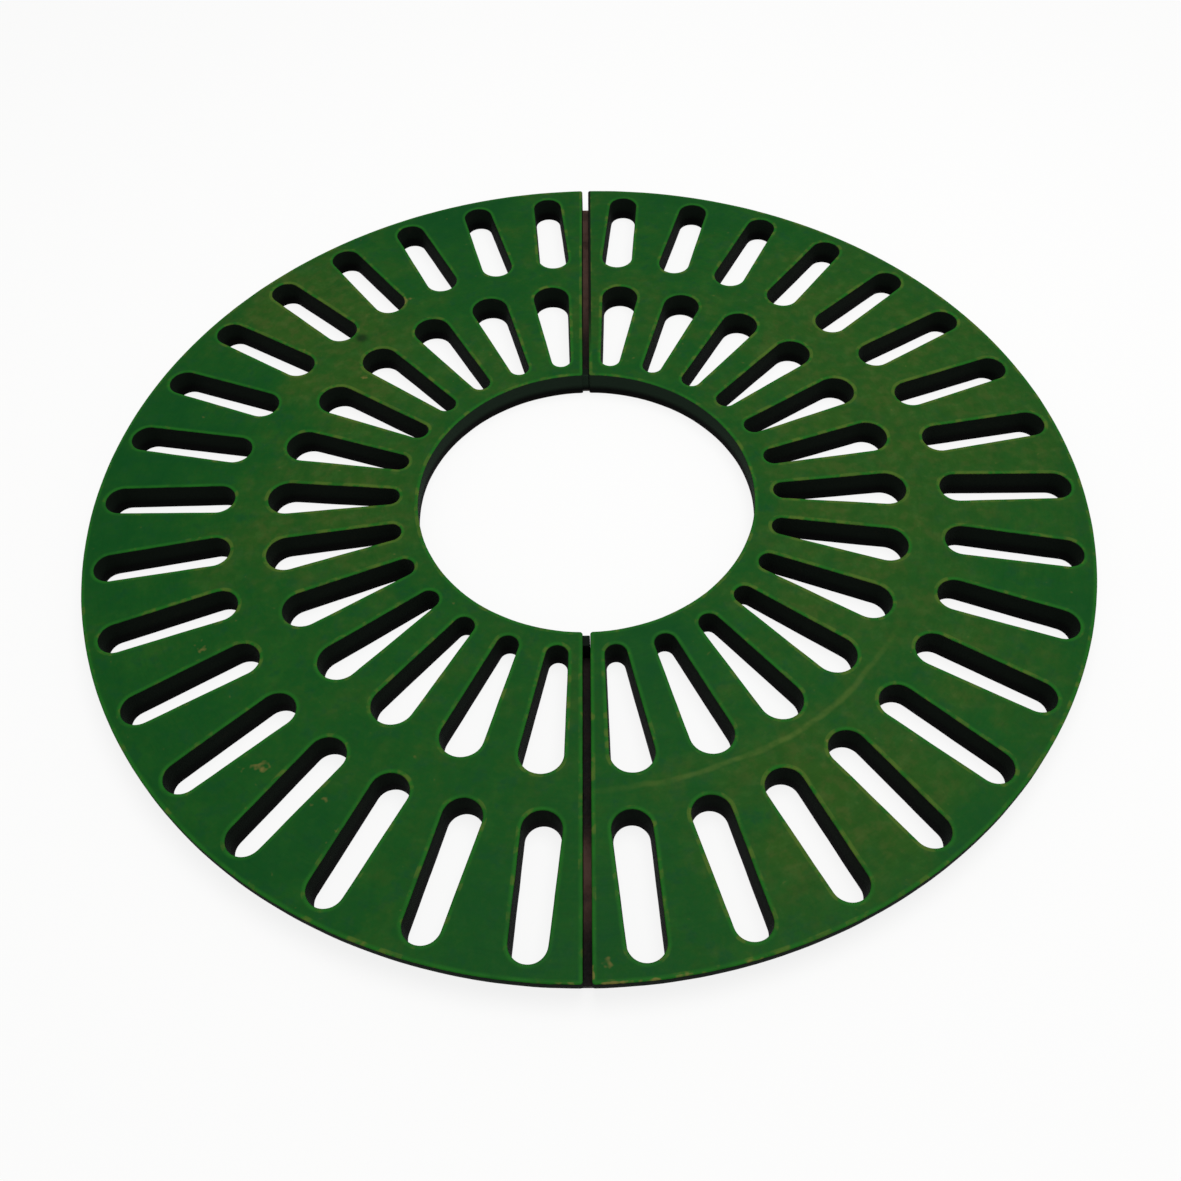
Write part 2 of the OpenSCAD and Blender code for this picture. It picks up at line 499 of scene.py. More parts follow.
def spread(tree: Tree, spot: Socket, patches: tuple[Patch, ...], start: Socket | float) -> Socket:
    """Adds up patches that fade out from their middles.

    Args:
        tree: The node tree.
        spot: Place in plan, in metres.
        patches: The patches.
        start: Output or value that they are added to.

    Returns:
        The sum.
    """
    total = start
    for patch in patches:
        middle = (patch.x * MM, patch.y * MM, 0)
        reach = add(tree, "VectorMath", {0: spot, 1: middle}, operation="DISTANCE")
        links = {"Value": reach, "From Min": patch.end * MM, "From Max": patch.core * MM}
        here = add(tree, "MapRange", {**links, "To Max": patch.strength}, **SOFT)
        total = add(tree, "Math", {0: total, 1: here}, **PLUS)
    return total


@dataclass(frozen=True)
class Place:
    """Where a point of a casting lies, as outputs of nodes. Metres."""

    where: Socket
    flat: Socket
    radius: Socket
    height: Socket
    upward: Socket
    edge: Socket

    @classmethod
    def of(cls, tree: Tree) -> Place:
        """Adds the nodes that say where a point lies.

        Args:
            tree: The node tree.

        Returns:
            Their outputs.
        """
        where = add(tree, "TexCoord", give="Object")
        split = add(tree, "SeparateXYZ", {0: where}).node.outputs
        flat = add(tree, "CombineXYZ", {"X": split["X"], "Y": split["Y"]})
        return cls(
            where=where,
            flat=flat,
            radius=add(tree, "VectorMath", {0: flat}, operation="LENGTH"),
            height=split["Z"],
            upward=add(tree, "SeparateXYZ", {0: where.node.outputs["Normal"]}, give="Z"),
            edge=add(tree, "Attribute", give="Fac", attribute_name="near_edge"),
        )


@dataclass(frozen=True)
class RolledGreenPaint:
    """Green alkyd paint, rolled on a sand-cast iron plate that was dipped in black bitumen.

    The eye gets a satin-matt green that is mottled at the width of a finger, with faint strokes round the
    centre where the roller went, over the fine pebble of the sand mould. The roller leaves paint only on
    the top and over the rounded edges, which carry a painted highlight; the walls keep the dull black of
    the dip, with painted shade at their foot and beside the joint, and painted light on the opening's wall.
    Sun bleaches the green to olive in wide soft patches, and soles rub it down to a tan primer in a few
    specks.
    """

    green: str = "#124b17"
    green_fresh: str = "#195018"
    green_cool: str = "#104520"
    green_deep: str = "#074518"
    olive: str = "#294f17"
    moss: str = "#425122"
    dust: str = "#4f7238"
    edge_highlight_green: str = "#1c5f1a"
    # Lighter colours of the painted highlight on the rounded edges
    edge_highlight_olive: str = "#486322"
    scrape: str = "#566a2d"
    tan: str = "#86703e"
    bitumen: str = "#0d110d"
    # Near-black painted shade for the foot of the walls
    bitumen_painted_shade: str = "#020202"
    # Dark green of the overspray on the walls, which also paints the light on the opening's wall
    overspray_and_light: str = "#19261c"
    # Near-black painted shade beside the joint
    joint_shade: str = "#12130d"
    silt: str = "#2c241b"
    rust: str = "#6a4027"
    soil: str = "#4c4437"
    # These two are multiplied over the paint: where rain has washed it, and in the valleys of the strokes
    washed: str = "#cbe7d7"
    valley: str = "#c4dace"
    # Sand grains of the mould are about 0.4 mm; drawn at 1.6 mm, or they would not show at this size
    grain_mm: float = 1.6
    # Threads of the roller's nap leave strokes about 1 mm wide; drawn at 3 mm for the same reason
    stroke_mm: float = 3.0
    # Widths of the other patterns: the ragged end of the paint, long dips of the plate, wandering outlines
    # and clouds of the wide patches, moss freckles, clouds of dust, bare chips and bitumen's own clouds
    ragged_mm: float = 5.0
    plate_dip_mm: float = 22.0
    outline_mm: float = 90.0
    bleach_mm: float = 45.0
    freckle_mm: float = 13.0
    dust_mm: float = 16.0
    chip_mm: float = 8.0
    bitumen_mm: float = 14.0
    # The same for the painted highlight on the edges, edges that are rubbed, the scrape's sway and its breaks
    edge_highlight_mm: float = 26.0
    rub_mm: float = 16.0
    sway_mm: float = 70.0
    break_mm: float = 18.0
    # Length of a stroke, and the radius at which it has that length
    stroke_length_mm: float = 28.0
    stroke_radius_mm: float = 400.0
    # Heights at which the roller's paint ends and is full, as the black walls rise to the top
    paint_end_mm: float = 31.8
    paint_full_mm: float = 32.8
    # Heights at which the painted shade at the foot of the walls ends and is full
    foot_shade_end_mm: float = 24.0
    foot_shade_full_mm: float = 10.0
    # Heights at which overspray and painted light on the walls begin and are full, and the radii that end the
    # opening's wall
    spray_and_light_end_mm: float = 7.0
    spray_and_light_full_mm: float = 18.0
    opening_end_mm: float = 210.0
    opening_full_mm: float = 207.5
    # Scrape left by the ring of a lifting frame, between the two rows of slots: its radius and its sway
    scrape_mm: float = 401.0
    scrape_sway_mm: float = 14.0
    # Half its width with and without its soft edges, its middle in plan, and how far it reaches from there
    scrape_edge_mm: float = 5.0
    scrape_core_mm: float = 0.8
    scrape_middle_mm: tuple[float, float] = (200.0, -350.0)
    scrape_end_mm: float = 260.0
    scrape_full_mm: float = 50.0
    # Painted shade beside the joint lies more on the right half's edge: its middle, and half its width
    # without and with the soft edge, and where it begins and is full behind the opening
    joint_shade_lean_mm: float = 1.3
    joint_shade_core_mm: float = 6.0
    joint_shade_edge_mm: float = 7.0
    joint_shade_start_mm: float = 200.0
    joint_shade_full_mm: float = 340.0
    # How far the outlines of the wide patches wander
    patch_drift_mm: float = 150.0
    # Bleached where the strength is positive, fresh and deep where it is negative
    patches: tuple[Patch, ...] = (
        Patch(-400, 350, 125, 0.9),
        Patch(-300, 195, 105, 0.9),
        Patch(-290, -10, 130, 0.75),
        Patch(400, 130, 270, 0.68),
        Patch(340, 390, 110, 0.3),
        Patch(120, 330, 110, 0.15),
        Patch(300, -130, 150, 0.5),
        Patch(480, -250, 90, 0.25),
        Patch(270, -410, 125, 0.85),
        Patch(190, -530, 80, 0.3),
        Patch(150, -410, 90, 0.2),
        Patch(30, 335, 100, 0.3),
        Patch(-130, 230, 100, 0.4),
        Patch(-445, 235, 70, -0.35),
        Patch(-560, 90, 150, -0.7),
        Patch(-570, -90, 120, -0.4),
        Patch(-470, -330, 130, -0.4),
        Patch(-330, -490, 120, -0.6),
        Patch(-200, 560, 110, -1.1),
        Patch(150, 580, 100, -0.7),
        Patch(80, -235, 80, -0.8),
        Patch(575, -200, 80, -0.65),
        Patch(377, -460, 45, -0.5),
        Patch(-40, -570, 150, -0.4),
        Patch(270, 320, 110, 0.3),
        Patch(-265, 315, 75, 0.35),
        Patch(-215, 125, 60, 0.3),
        Patch(420, -240, 80, 0.35),
        Patch(-137, 385, 60, -0.35),
        Patch(-425, -80, 70, 0.35),
    )
    # Specks on the flat that are rubbed to the primer
    worn: tuple[Patch, ...] = (
        Patch(18, -580, 9, 0.35),
        Patch(-352, -369, 12, 0.24),
        Patch(-335, -368, 12, 0.27),
        Patch(-279, -408, 11, 0.17),
        Patch(-268, -411, 9, 0.17),
        Patch(-432, -217, 11, 0.24),
        Patch(-333, -494, 9, 0.19),
        Patch(-284, -524, 9, 0.19),
        Patch(-178, -528, 9, 0.19),
        Patch(-251, 359, 12, 0.32),
        Patch(-293, 206, 11, 0.36),
        Patch(420, -250, 12, 0.2),
        Patch(150, -505, 22, 0.15),
    )
    # Edges that are rubbed to the primer: a corner by the joint, the rim beside it, and ends of slots
    rubbed: tuple[Patch, ...] = (
        Patch(6, -587, 11, 0.39),
        Patch(24, -600, 20, 0.41),
        Patch(62, -600, 28, 0.33),
        Patch(104, -594, 28, 0.29),
        Patch(165, -580, 30, 0.23),
        Patch(-24, -602, 26, 0.27),
        Patch(-257, 352, 16, 0.35),
        Patch(240, -345, 14, 0.3),
    )
    # A smudge of bitumen on the flat, at the back left
    smudge: Patch = Patch(-303, 283, 10, 0.62)

    def material(self) -> bpy.types.Material:
        """Builds the paint with its black walls.

        Returns:
            The material.
        """
        made, tree = blank("rolled_green_paint_on_sand_cast_iron")
        place = Place.of(tree)
        bleach = self.bleach(tree, place)
        strokes = self.strokes(tree, place)
        colour = self.greens(tree, place, bleach, strokes)
        colour = self.wear(tree, place, bleach, colour)
        painted = self.painted(tree, place)
        colour = add(tree, "Mix", {"Factor": painted, "A": self.dip(tree, place), "B": colour}, **TINT)

        # Sand-cast grain, flattened by the paint, its strokes, and the long dips of a cast plate
        grain = {"Vector": place.where, "Scale": per_metre(self.grain_mm), "Detail": 2.0, "Roughness": 0.6}
        sand = add(tree, "TexNoise", grain)
        links = {"Vector": place.where, "Scale": per_metre(self.plate_dip_mm), "Detail": 2.0}
        dips = add(tree, "TexNoise", links)
        relief = add(tree, "Math", {0: sand, 1: 0.13}, **TIMES)
        relief = add(tree, "Math", {0: strokes, 1: 0.06, 2: relief}, **TIMES_PLUS)
        relief = add(tree, "Math", {0: dips, 1: 0.5, 2: relief}, **TIMES_PLUS)
        bump = add(tree, "Bump", {"Height": relief, "Strength": 0.5, "Distance": 0.6 * MM})
        links = {"Value": sand, "From Min": 0.3, "From Max": 0.7, "To Min": 0.5, "To Max": 0.62}
        sheen = add(tree, "Math", {0: bleach, 1: 0.1, 2: add(tree, "MapRange", links)}, **TIMES_PLUS)
        rough = add(tree, "Mix", {"Factor": painted, "A": 0.88, "B": sheen})
        links = {"Base Color": colour, "Roughness": rough, "Normal": bump, "IOR": 1.5}
        shader = add(tree, "BsdfPrincipled", {**links, "Specular IOR Level": 0.05})
        add(tree, "OutputMaterial", {"Surface": shader})
        return made

    def painted(self, tree: Tree, place: Place) -> Socket:
        """Adds the reach of the roller, which ends unevenly on the round of the edge.

        Args:
            tree: The node tree.
            place: Where the point lies.

        Returns:
            The share of paint over the dip: 1 on the top and 0 on all that lies lower.
        """
        links = {"Vector": place.where, "Scale": per_metre(self.ragged_mm), "Detail": 3.0}
        ragged = add(tree, "TexNoise", links)
        links = {"Value": ragged, "From Min": 0.3, "From Max": 0.7, "To Min": -0.12, "To Max": 0.12}
        facing = add(tree, "Math", {0: place.upward, 1: add(tree, "MapRange", links)}, **PLUS)
        facing = add(tree, "MapRange", {"Value": facing, "From Min": 0.35, "From Max": 0.6}, **SOFT)
        links = {"From Min": self.paint_end_mm * MM, "From Max": self.paint_full_mm * MM}
        high = add(tree, "MapRange", {"Value": place.height, **links}, **SOFT)
        return add(tree, "Math", {0: facing, 1: high}, **TIMES)

    def bleach(self, tree: Tree, place: Place) -> Socket:
        """Adds the wide patches, with ragged outlines and soft clouds.

        Args:
            tree: The node tree.
            place: Where the point lies.

        Returns:
            How bleached the paint is, from -1 for fresh and deep to 1 for olive.
        """
        links = {"Vector": place.flat, "Scale": per_metre(self.outline_mm), "Detail": 4.0}
        warp = add(tree, "TexNoise", links, give="Color")
        lean = add(tree, "VectorMath", {0: warp, 1: (MIDDLE, MIDDLE, MIDDLE)}, **LESS)
        drift = add(tree, "VectorMath", {0: lean, "Scale": self.patch_drift_mm * MM}, operation="SCALE")
        ragged = add(tree, "VectorMath", {0: place.flat, 1: drift}, **PLUS)
        links = {"Vector": place.flat, "Scale": per_metre(self.bleach_mm), "Detail": 5.0, "Roughness": 0.6}
        cloud = add(tree, "TexNoise", links)
        links = {"Value": cloud, "From Min": 0.35, "From Max": 0.65, "To Min": -0.25, "To Max": 0.35}
        total = spread(tree, ragged, self.patches, add(tree, "MapRange", links))
        return add(tree, "Clamp", {"Value": total, "Min": -1.0, "Max": 1.0})

    def strokes(self, tree: Tree, place: Place) -> Socket:
        """Adds the strokes of the roller, which went round the centre.

        Args:
            tree: The node tree.
            place: Where the point lies.

        Returns:
            Their height, from 0 to 1 and about 0.5 on average.
        """
        # The point's direction times one length is the place along a stroke, and its radius the place across
        way = add(tree, "VectorMath", {0: place.flat}, operation="NORMALIZE")
        length = self.stroke_radius_mm / self.stroke_length_mm
        along = add(tree, "VectorMath", {0: way, "Scale": length}, operation="SCALE")
        across = add(tree, "Math", {0: place.radius, 1: per_metre(self.stroke_mm)}, **TIMES)
        spot = add(tree, "VectorMath", {0: along, 1: add(tree, "CombineXYZ", {"Z": across})}, **PLUS)
        return add(tree, "TexNoise", {"Vector": spot, "Scale": 1.0, "Detail": 2.0})

    def greens(self, tree: Tree, place: Place, bleach: Socket, strokes: Socket) -> Socket:
        """Adds the greens on the flat: mottling, bleach, freckles of moss, clouds of dust and the strokes.

        Args:
            tree: The node tree.
            place: Where the point lies.
            bleach: How bleached the paint is.
            strokes: The roller's strokes.

        Returns:
            The paint's colour on the flat.
        """
        colour = linear(self.green)
        for size, low, high, most, tone in (
            (40, 0.46, 0.62, 0.8, self.green_fresh),
            (20, 0.5, 0.66, 0.7, self.green_cool),
            (12, 0.52, 0.68, 0.55, self.green_deep),
            (6, 0.46, 0.62, 0.22, self.olive),
        ):
            links = {"Vector": place.where, "Scale": per_metre(size), "Detail": 4.0, "Roughness": 0.6}
            cloud = add(tree, "TexNoise", links)
            links = {"Value": cloud, "From Min": low, "From Max": high, "To Max": most}
            share = add(tree, "MapRange", links, **SOFT)
            colour = add(tree, "Mix", {"Factor": share, "A": colour, "B": linear(tone)}, **TINT)
        deep = add(tree, "MapRange", {"Value": bleach, "From Min": 0.0, "From Max": -1.0})
        colour = add(tree, "Mix", {"Factor": deep, "A": colour, "B": linear(self.green_deep)}, **TINT)
        olive = add(tree, "MapRange", {"Value": bleach, "From Min": 0.0, "From Max": 1.0})
        colour = add(tree, "Mix", {"Factor": olive, "A": colour, "B": linear(self.olive)}, **TINT)

        # Moss-brown freckles in the bleached paint
        links = {"Vector": place.where, "Scale": per_metre(self.freckle_mm), "Detail": 3.0, "Roughness": 0.6}
        speck = add(tree, "TexNoise", links)
        links = {"Value": speck, "From Min": 0.42, "From Max": 0.66, "To Max": 0.5}
        speck = add(tree, "Math", {0: add(tree, "MapRange", links, **SOFT), 1: olive}, **TIMES)
        colour = add(tree, "Mix", {"Factor": speck, "A": colour, "B": linear(self.moss)}, **TINT)

        # Dust lies in faint clouds, and between them rain has left the paint darker
        links = {"Vector": place.where, "Scale": per_metre(self.dust_mm), "Detail": 3.0, "Roughness": 0.65}
        cloud = add(tree, "TexNoise", links)
        # Sound paint sheds both, and bleached paint holds them
        links = {"Value": bleach, "From Min": -0.1, "From Max": 0.7, "To Min": 0.25}
        holds = add(tree, "MapRange", links, **SOFT)
        links = {"Value": cloud, "From Min": 0.5, "From Max": 0.68, "To Max": 0.1}
        dusty = add(tree, "Math", {0: add(tree, "MapRange", links, **SOFT), 1: holds}, **TIMES)
        colour = add(tree, "Mix", {"Factor": dusty, "A": colour, "B": linear(self.dust)}, **TINT)
        links = {"Value": cloud, "From Min": 0.5, "From Max": 0.32, "To Max": 0.38}
        wash = add(tree, "Math", {0: add(tree, "MapRange", links, **SOFT), 1: holds}, **TIMES)
        links = {"Factor": wash, "A": colour, "B": linear(self.washed)}
        colour = add(tree, "Mix", links, blend_type="MULTIPLY", **TINT)

        # The valleys of the strokes are a little darker
        links = {"Value": strokes, "From Min": 0.5, "From Max": 0.3, "To Max": 0.16}
        low = add(tree, "MapRange", links, **SOFT)
        links = {"Factor": low, "A": colour, "B": linear(self.valley)}
        return add(tree, "Mix", links, blend_type="MULTIPLY", **TINT)

    def wear(self, tree: Tree, place: Place, bleach: Socket, colour: Socket) -> Socket:
        """Adds the scrape, the painted highlight on the edges and beside them, the painted shade by the
        joint, the smudge and the bare specks.

        Args:
            tree: The node tree.
            place: Where the point lies.
            bleach: How bleached the paint is.
            colour: The paint's colour on the flat.

        Returns:
            The paint's colour.
        """
        line = self.scrape_line(tree, place)
        colour = add(tree, "Mix", {"Factor": line, "A": colour, "B": linear(self.scrape)}, **TINT)

        # Painted highlight on the rounded edges: a brighter green, yellow-olive where the paint is bleached
        # and rubbed
        links = {"Vector": place.where, "Scale": per_metre(self.edge_highlight_mm), "Detail": 3.0}
        highlight = add(tree, "TexNoise", links)
        links = {"Value": highlight, "From Min": 0.3, "From Max": 0.6, "To Min": 0.45}
        highlight = add(tree, "Math", {0: add(tree, "MapRange", links, **SOFT), 1: place.edge}, **TIMES)
        links = {"Vector": place.where, "Scale": per_metre(self.rub_mm), "Detail": 4.0}
        rubbed = add(tree, "TexNoise", links)
        rubbed = add(tree, "Math", {0: bleach, 1: 0.16, 2: rubbed}, **TIMES_PLUS)
        rubbed = add(tree, "MapRange", {"Value": rubbed, "From Min": 0.52, "From Max": 0.68}, **SOFT)
        links = {"Factor": rubbed, "A": linear(self.edge_highlight_green), "B": linear(self.edge_highlight_olive)}
        edge = add(tree, "Mix", links, **TINT)
        colour = add(tree, "Mix", {"Factor": highlight, "A": colour, "B": edge}, **TINT)

        # Painted shade beside the joint, behind the opening
        shaded_joint = self.joint_painted_shade(tree, place)
        colour = add(tree, "Mix", {"Factor": shaded_joint, "A": colour, "B": linear(self.joint_shade)}, **TINT)

        # Painted highlight on the flat just beside the edge, in the edges' olive, where the paint is bleached
        # and rubbed
        beside_highlight = add(tree, "MapRange", {"Value": place.edge, "From Min": 0.1, "From Max": 0.4}, **SOFT)
        links = {"Value": place.edge, "From Min": BESIDE_EDGE, "From Max": 0.5, "To Max": 0.5}
        beside_highlight = add(tree, "Math", {0: beside_highlight, 1: add(tree, "MapRange", links, **SOFT)}, **TIMES)
        beside_highlight = add(tree, "Math", {0: beside_highlight, 1: rubbed}, **TIMES)
        colour = add(tree, "Mix", {"Factor": beside_highlight, "A": colour, "B": linear(self.edge_highlight_olive)}, **TINT)

        smudge = spread(tree, place.flat, (self.smudge,), 0.0)
        colour = add(tree, "Mix", {"Factor": smudge, "A": colour, "B": linear(self.bitumen)}, **TINT)
        bare = self.bare_specks(tree, place)
        return add(tree, "Mix", {"Factor": bare, "A": colour, "B": linear(self.tan)}, **TINT)

    def scrape_line(self, tree: Tree, place: Place) -> Socket:
        """Adds the scrape: a faint, wavering, broken line at the front right only.

        Args:
            tree: The node tree.
            place: Where the point lies.

        Returns:
            How much of it shows.
        """
        links = {"Vector": place.where, "Scale": per_metre(self.sway_mm), "Detail": 3.0}
        sway = add(tree, "Math", {0: add(tree, "TexNoise", links), 1: MIDDLE}, **LESS)
        off = add(tree, "Math", {0: place.radius, 1: self.scrape_mm * MM}, **LESS)
        off = add(tree, "Math", {0: sway, 1: self.scrape_sway_mm * MM, 2: off}, **TIMES_PLUS)
        off = add(tree, "Math", {0: off}, operation="ABSOLUTE")
        links = {"From Min": self.scrape_edge_mm * MM, "From Max": self.scrape_core_mm * MM}
        line = add(tree, "MapRange", {"Value": off, **links}, **SOFT)
        x, y = self.scrape_middle_mm
        away = add(tree, "VectorMath", {0: place.flat, 1: (x * MM, y * MM, 0)}, operation="DISTANCE")
        links = {"From Min": self.scrape_end_mm * MM, "From Max": self.scrape_full_mm * MM, "To Max": 0.48}
        away = add(tree, "MapRange", {"Value": away, **links}, **SOFT)
        line = add(tree, "Math", {0: line, 1: away}, **TIMES)
        links = {"Vector": place.where, "Scale": per_metre(self.break_mm), "Detail": 3.0}
        broken = add(tree, "TexNoise", links)
        links = {"Value": broken, "From Min": 0.3, "From Max": 0.6, "To Min": 0.3}
        return add(tree, "Math", {0: line, 1: add(tree, "MapRange", links, **SOFT)}, **TIMES)

    def joint_painted_shade(self, tree: Tree, place: Place) -> Socket:
        """Adds painted shade on the paint beside the joint, behind the opening.

        Args:
            tree: The node tree.
            place: Where the point lies.

        Returns:
            How much of it lies there.
        """
        split = add(tree, "SeparateXYZ", {0: place.flat}).node.outputs
        near = add(tree, "Math", {0: split["X"], 1: self.joint_shade_lean_mm * MM}, **LESS)
        near = add(tree, "Math", {0: near}, operation="ABSOLUTE")
        links = {"From Min": self.joint_shade_edge_mm * MM, "From Max": self.joint_shade_core_mm * MM}
        near = add(tree, "MapRange", {"Value": near, **links}, **SOFT)
        links = {"From Min": self.joint_shade_start_mm * MM, "From Max": self.joint_shade_full_mm * MM}
        behind = add(tree, "MapRange", {"Value": split["Y"], **links}, **SOFT)
        return add(tree, "Math", {0: near, 1: behind}, **TIMES)

    def bare_specks(self, tree: Tree, place: Place) -> Socket:
        """Adds the primer where the paint is rubbed through: a noise passes a need that worn places lower.

        Args:
            tree: The node tree.
            place: Where the point lies.

        Returns:
            How much of the primer shows.
        """
        bare = spread(tree, place.flat, self.worn, 0.0)
        edges = spread(tree, place.flat, self.rubbed, 0.0)
        # The power keeps these to the round of the edge
        round_only = add(tree, "Math", {0: place.edge, 1: 4.0}, operation="POWER")
        bare = add(tree, "Math", {0: edges, 1: round_only, 2: bare}, **TIMES_PLUS)
        links = {"Vector": place.where, "Scale": per_metre(self.chip_mm), "Detail": 1.0, "Roughness": 0.5}
        chip = add(tree, "Math", {0: add(tree, "TexNoise", links), 1: bare}, **PLUS)
        return add(tree, "MapRange", {"Value": chip, "From Min": 0.77, "From Max": 0.99, "To Max": 0.52})

    def dip(self, tree: Tree, place: Place) -> Socket:
        """Adds the bitumen: black, with painted shade at the foot of the walls, dusty, rusty below, with
        green overspray that is partly painted light.

        Args:
            tree: The node tree.
            place: Where the point lies.

        Returns:
            The dip's colour.
        """
        links = {"Vector": place.where, "Scale": per_metre(self.bitumen_mm), "Detail": 4.0, "Roughness": 0.6}
        cloud = add(tree, "TexNoise", links)
        links = {"Value": cloud, "From Min": 0.58, "From Max": 0.78, "To Max": 0.3}
        dusty = add(tree, "MapRange", links, **SOFT)
        links = {"Factor": dusty, "A": linear(self.bitumen), "B": linear(self.silt)}
        black = add(tree, "Mix", links, **TINT)
        # Painted shade: the walls turn near-black towards their foot, deep in the slots
        links = {"From Min": self.foot_shade_end_mm * MM, "From Max": self.foot_shade_full_mm * MM}
        foot_shade = add(tree, "MapRange", {"Value": place.height, **links}, **SOFT)
        side = add(tree, "MapRange", {"Value": place.upward, "From Min": -0.5, "From Max": -0.1}, **SOFT)
        foot_shade = add(tree, "Math", {0: foot_shade, 1: side}, **TIMES)
        black = add(tree, "Mix", {"Factor": foot_shade, "A": black, "B": linear(self.bitumen_painted_shade)}, **TINT)

        # Dry soil clings to all that faces down, and rust comes through in places
        below = add(tree, "MapRange", {"Value": place.upward, "From Min": -0.1, "From Max": -0.6}, **SOFT)
        for size, low, high, least, most, tone in (
            (30, 0.35, 0.65, 0.45, 1.0, self.soil),
            (45, 0.52, 0.66, 0.0, 0.8, self.rust),
        ):
            links = {"Vector": place.where, "Scale": per_metre(size), "Detail": 5.0, "Roughness": 0.65}
            cloud = add(tree, "TexNoise", links)
            links = {"Value": cloud, "From Min": low, "From Max": high, "To Min": least, "To Max": most}
            share = add(tree, "Math", {0: below, 1: add(tree, "MapRange", links, **SOFT)}, **TIMES)
            black = add(tree, "Mix", {"Factor": share, "A": black, "B": linear(tone)}, **TINT)

        # The wall of the opening takes more green overspray than the slots, fading towards the foot: partly
        # paint and partly painted light, lighter on the open wall and high up, darker at the foot
        links = {"From Min": self.spray_and_light_end_mm * MM, "From Max": self.spray_and_light_full_mm * MM}
        spray_and_light = add(tree, "MapRange", {"Value": place.height, **links}, **SOFT)
        links = {"From Min": self.opening_end_mm * MM, "From Max": self.opening_full_mm * MM, "To Min": 0.3}
        on_opening_wall = add(tree, "MapRange", {"Value": place.radius, **links}, **SOFT)
        spray_and_light = add(tree, "Math", {0: spray_and_light, 1: on_opening_wall}, **TIMES)
        spray_and_light = add(tree, "Math", {0: spray_and_light, 1: side}, **TIMES)
        return add(tree, "Mix", {"Factor": spray_and_light, "A": black, "B": linear(self.overspray_and_light)}, **TINT)


@dataclass(frozen=True)
class SiltedFlatBar:
    """Hot-rolled steel flat, rusted and covered with dry silt that falls through the joint.

    The eye gets a dead matt brown with fine pits. Silt lies pale away from the opening, laid where light
    comes down the joint as painted light; near the opening and at the front rim the mill scale shows almost
    black as painted shade.
    """

    scale: str = "#1a1715"
    rust: str = "#452e22"
    silt: str = "#6b4f44"
    # Where the silt, and with it the painted light on the bar, begins and is full along Y: behind the
    # opening, in front of it, and short of the rim
    back_mm: tuple[float, float] = (260.0, 420.0)
    front_mm: tuple[float, float] = (-420.0, -460.0)
    rim_mm: tuple[float, float] = (-550.0, -500.0)
    # Widths of the gaps in the silt, of the blooms of rust and of the pits that rust has eaten
    gap_mm: float = 35.0
    bloom_mm: float = 12.0
    pit_mm: float = 2.2

    def material(self) -> bpy.types.Material:
        """Builds the rusted steel.

        Returns:
            The material.
        """
        made, tree = blank("silted_hot_rolled_steel")
        where = add(tree, "TexCoord", give="Object")
        upward = add(tree, "SeparateXYZ", {0: where.node.outputs["Normal"]}, give="Z")
        along = add(tree, "SeparateXYZ", {0: where}, give="Y")

        # Silt lies on the top, in the outer part of the back bar and the middle of the front one; this zone
        # is painted light, and the rest is left near-black as painted shade
        back, front, rim = (
            add(tree, "MapRange", {"Value": along, "From Min": start * MM, "From Max": full * MM}, **SOFT)
            for start, full in (self.back_mm, self.front_mm, self.rim_mm)
        )
        silt_and_light = add(tree, "Math", {0: front, 1: rim, 2: back}, **TIMES_PLUS)
        gaps = {"Vector": where, "Scale": per_metre(self.gap_mm), "Detail": 4.0, "Roughness": 0.6}
        links = {"Value": add(tree, "TexNoise", gaps), "From Min": 0.3, "From Max": 0.6, "To Min": 0.3}
        lies = add(tree, "Math", {0: silt_and_light, 1: add(tree, "MapRange", links, **SOFT)}, **TIMES)
        top = add(tree, "MapRange", {"Value": upward, "From Min": 0.5, "From Max": 0.9}, **SOFT)
        lies = add(tree, "Math", {0: lies, 1: top}, **TIMES)

        bloom = {"Vector": where, "Scale": per_metre(self.bloom_mm), "Detail": 5.0, "Roughness": 0.65}
        links = {"Value": add(tree, "TexNoise", bloom), "From Min": 0.42, "From Max": 0.6, "To Max": 0.8}
        # Rust blooms are fainter in the painted shade
        share = add(tree, "MapRange", {"Value": silt_and_light, "To Min": 0.25, "To Max": 1.0})
        rusty = add(tree, "Math", {0: add(tree, "MapRange", links, **SOFT), 1: share}, **TIMES)
        colour = add(tree, "Mix", {"Factor": rusty, "A": linear(self.scale), "B": linear(self.rust)}, **TINT)
        colour = add(tree, "Mix", {"Factor": lies, "A": colour, "B": linear(self.silt)}, **TINT)
        links = {"Vector": where, "Scale": per_metre(self.pit_mm), "Detail": 3.0, "Roughness": 0.6}
        pits = add(tree, "TexNoise", links)
        bump = add(tree, "Bump", {"Height": pits, "Strength": 0.6, "Distance": 0.3 * MM})
        links = {"Value": pits, "From Min": 0.3, "From Max": 0.7, "To Min": 0.7, "To Max": 0.92}
        rough = add(tree, "MapRange", links)
        links = {"Base Color": colour, "Roughness": rough, "Normal": bump, "Specular IOR Level": 0.3}
        add(tree, "OutputMaterial", {"Surface": add(tree, "BsdfPrincipled", links)})
        return made


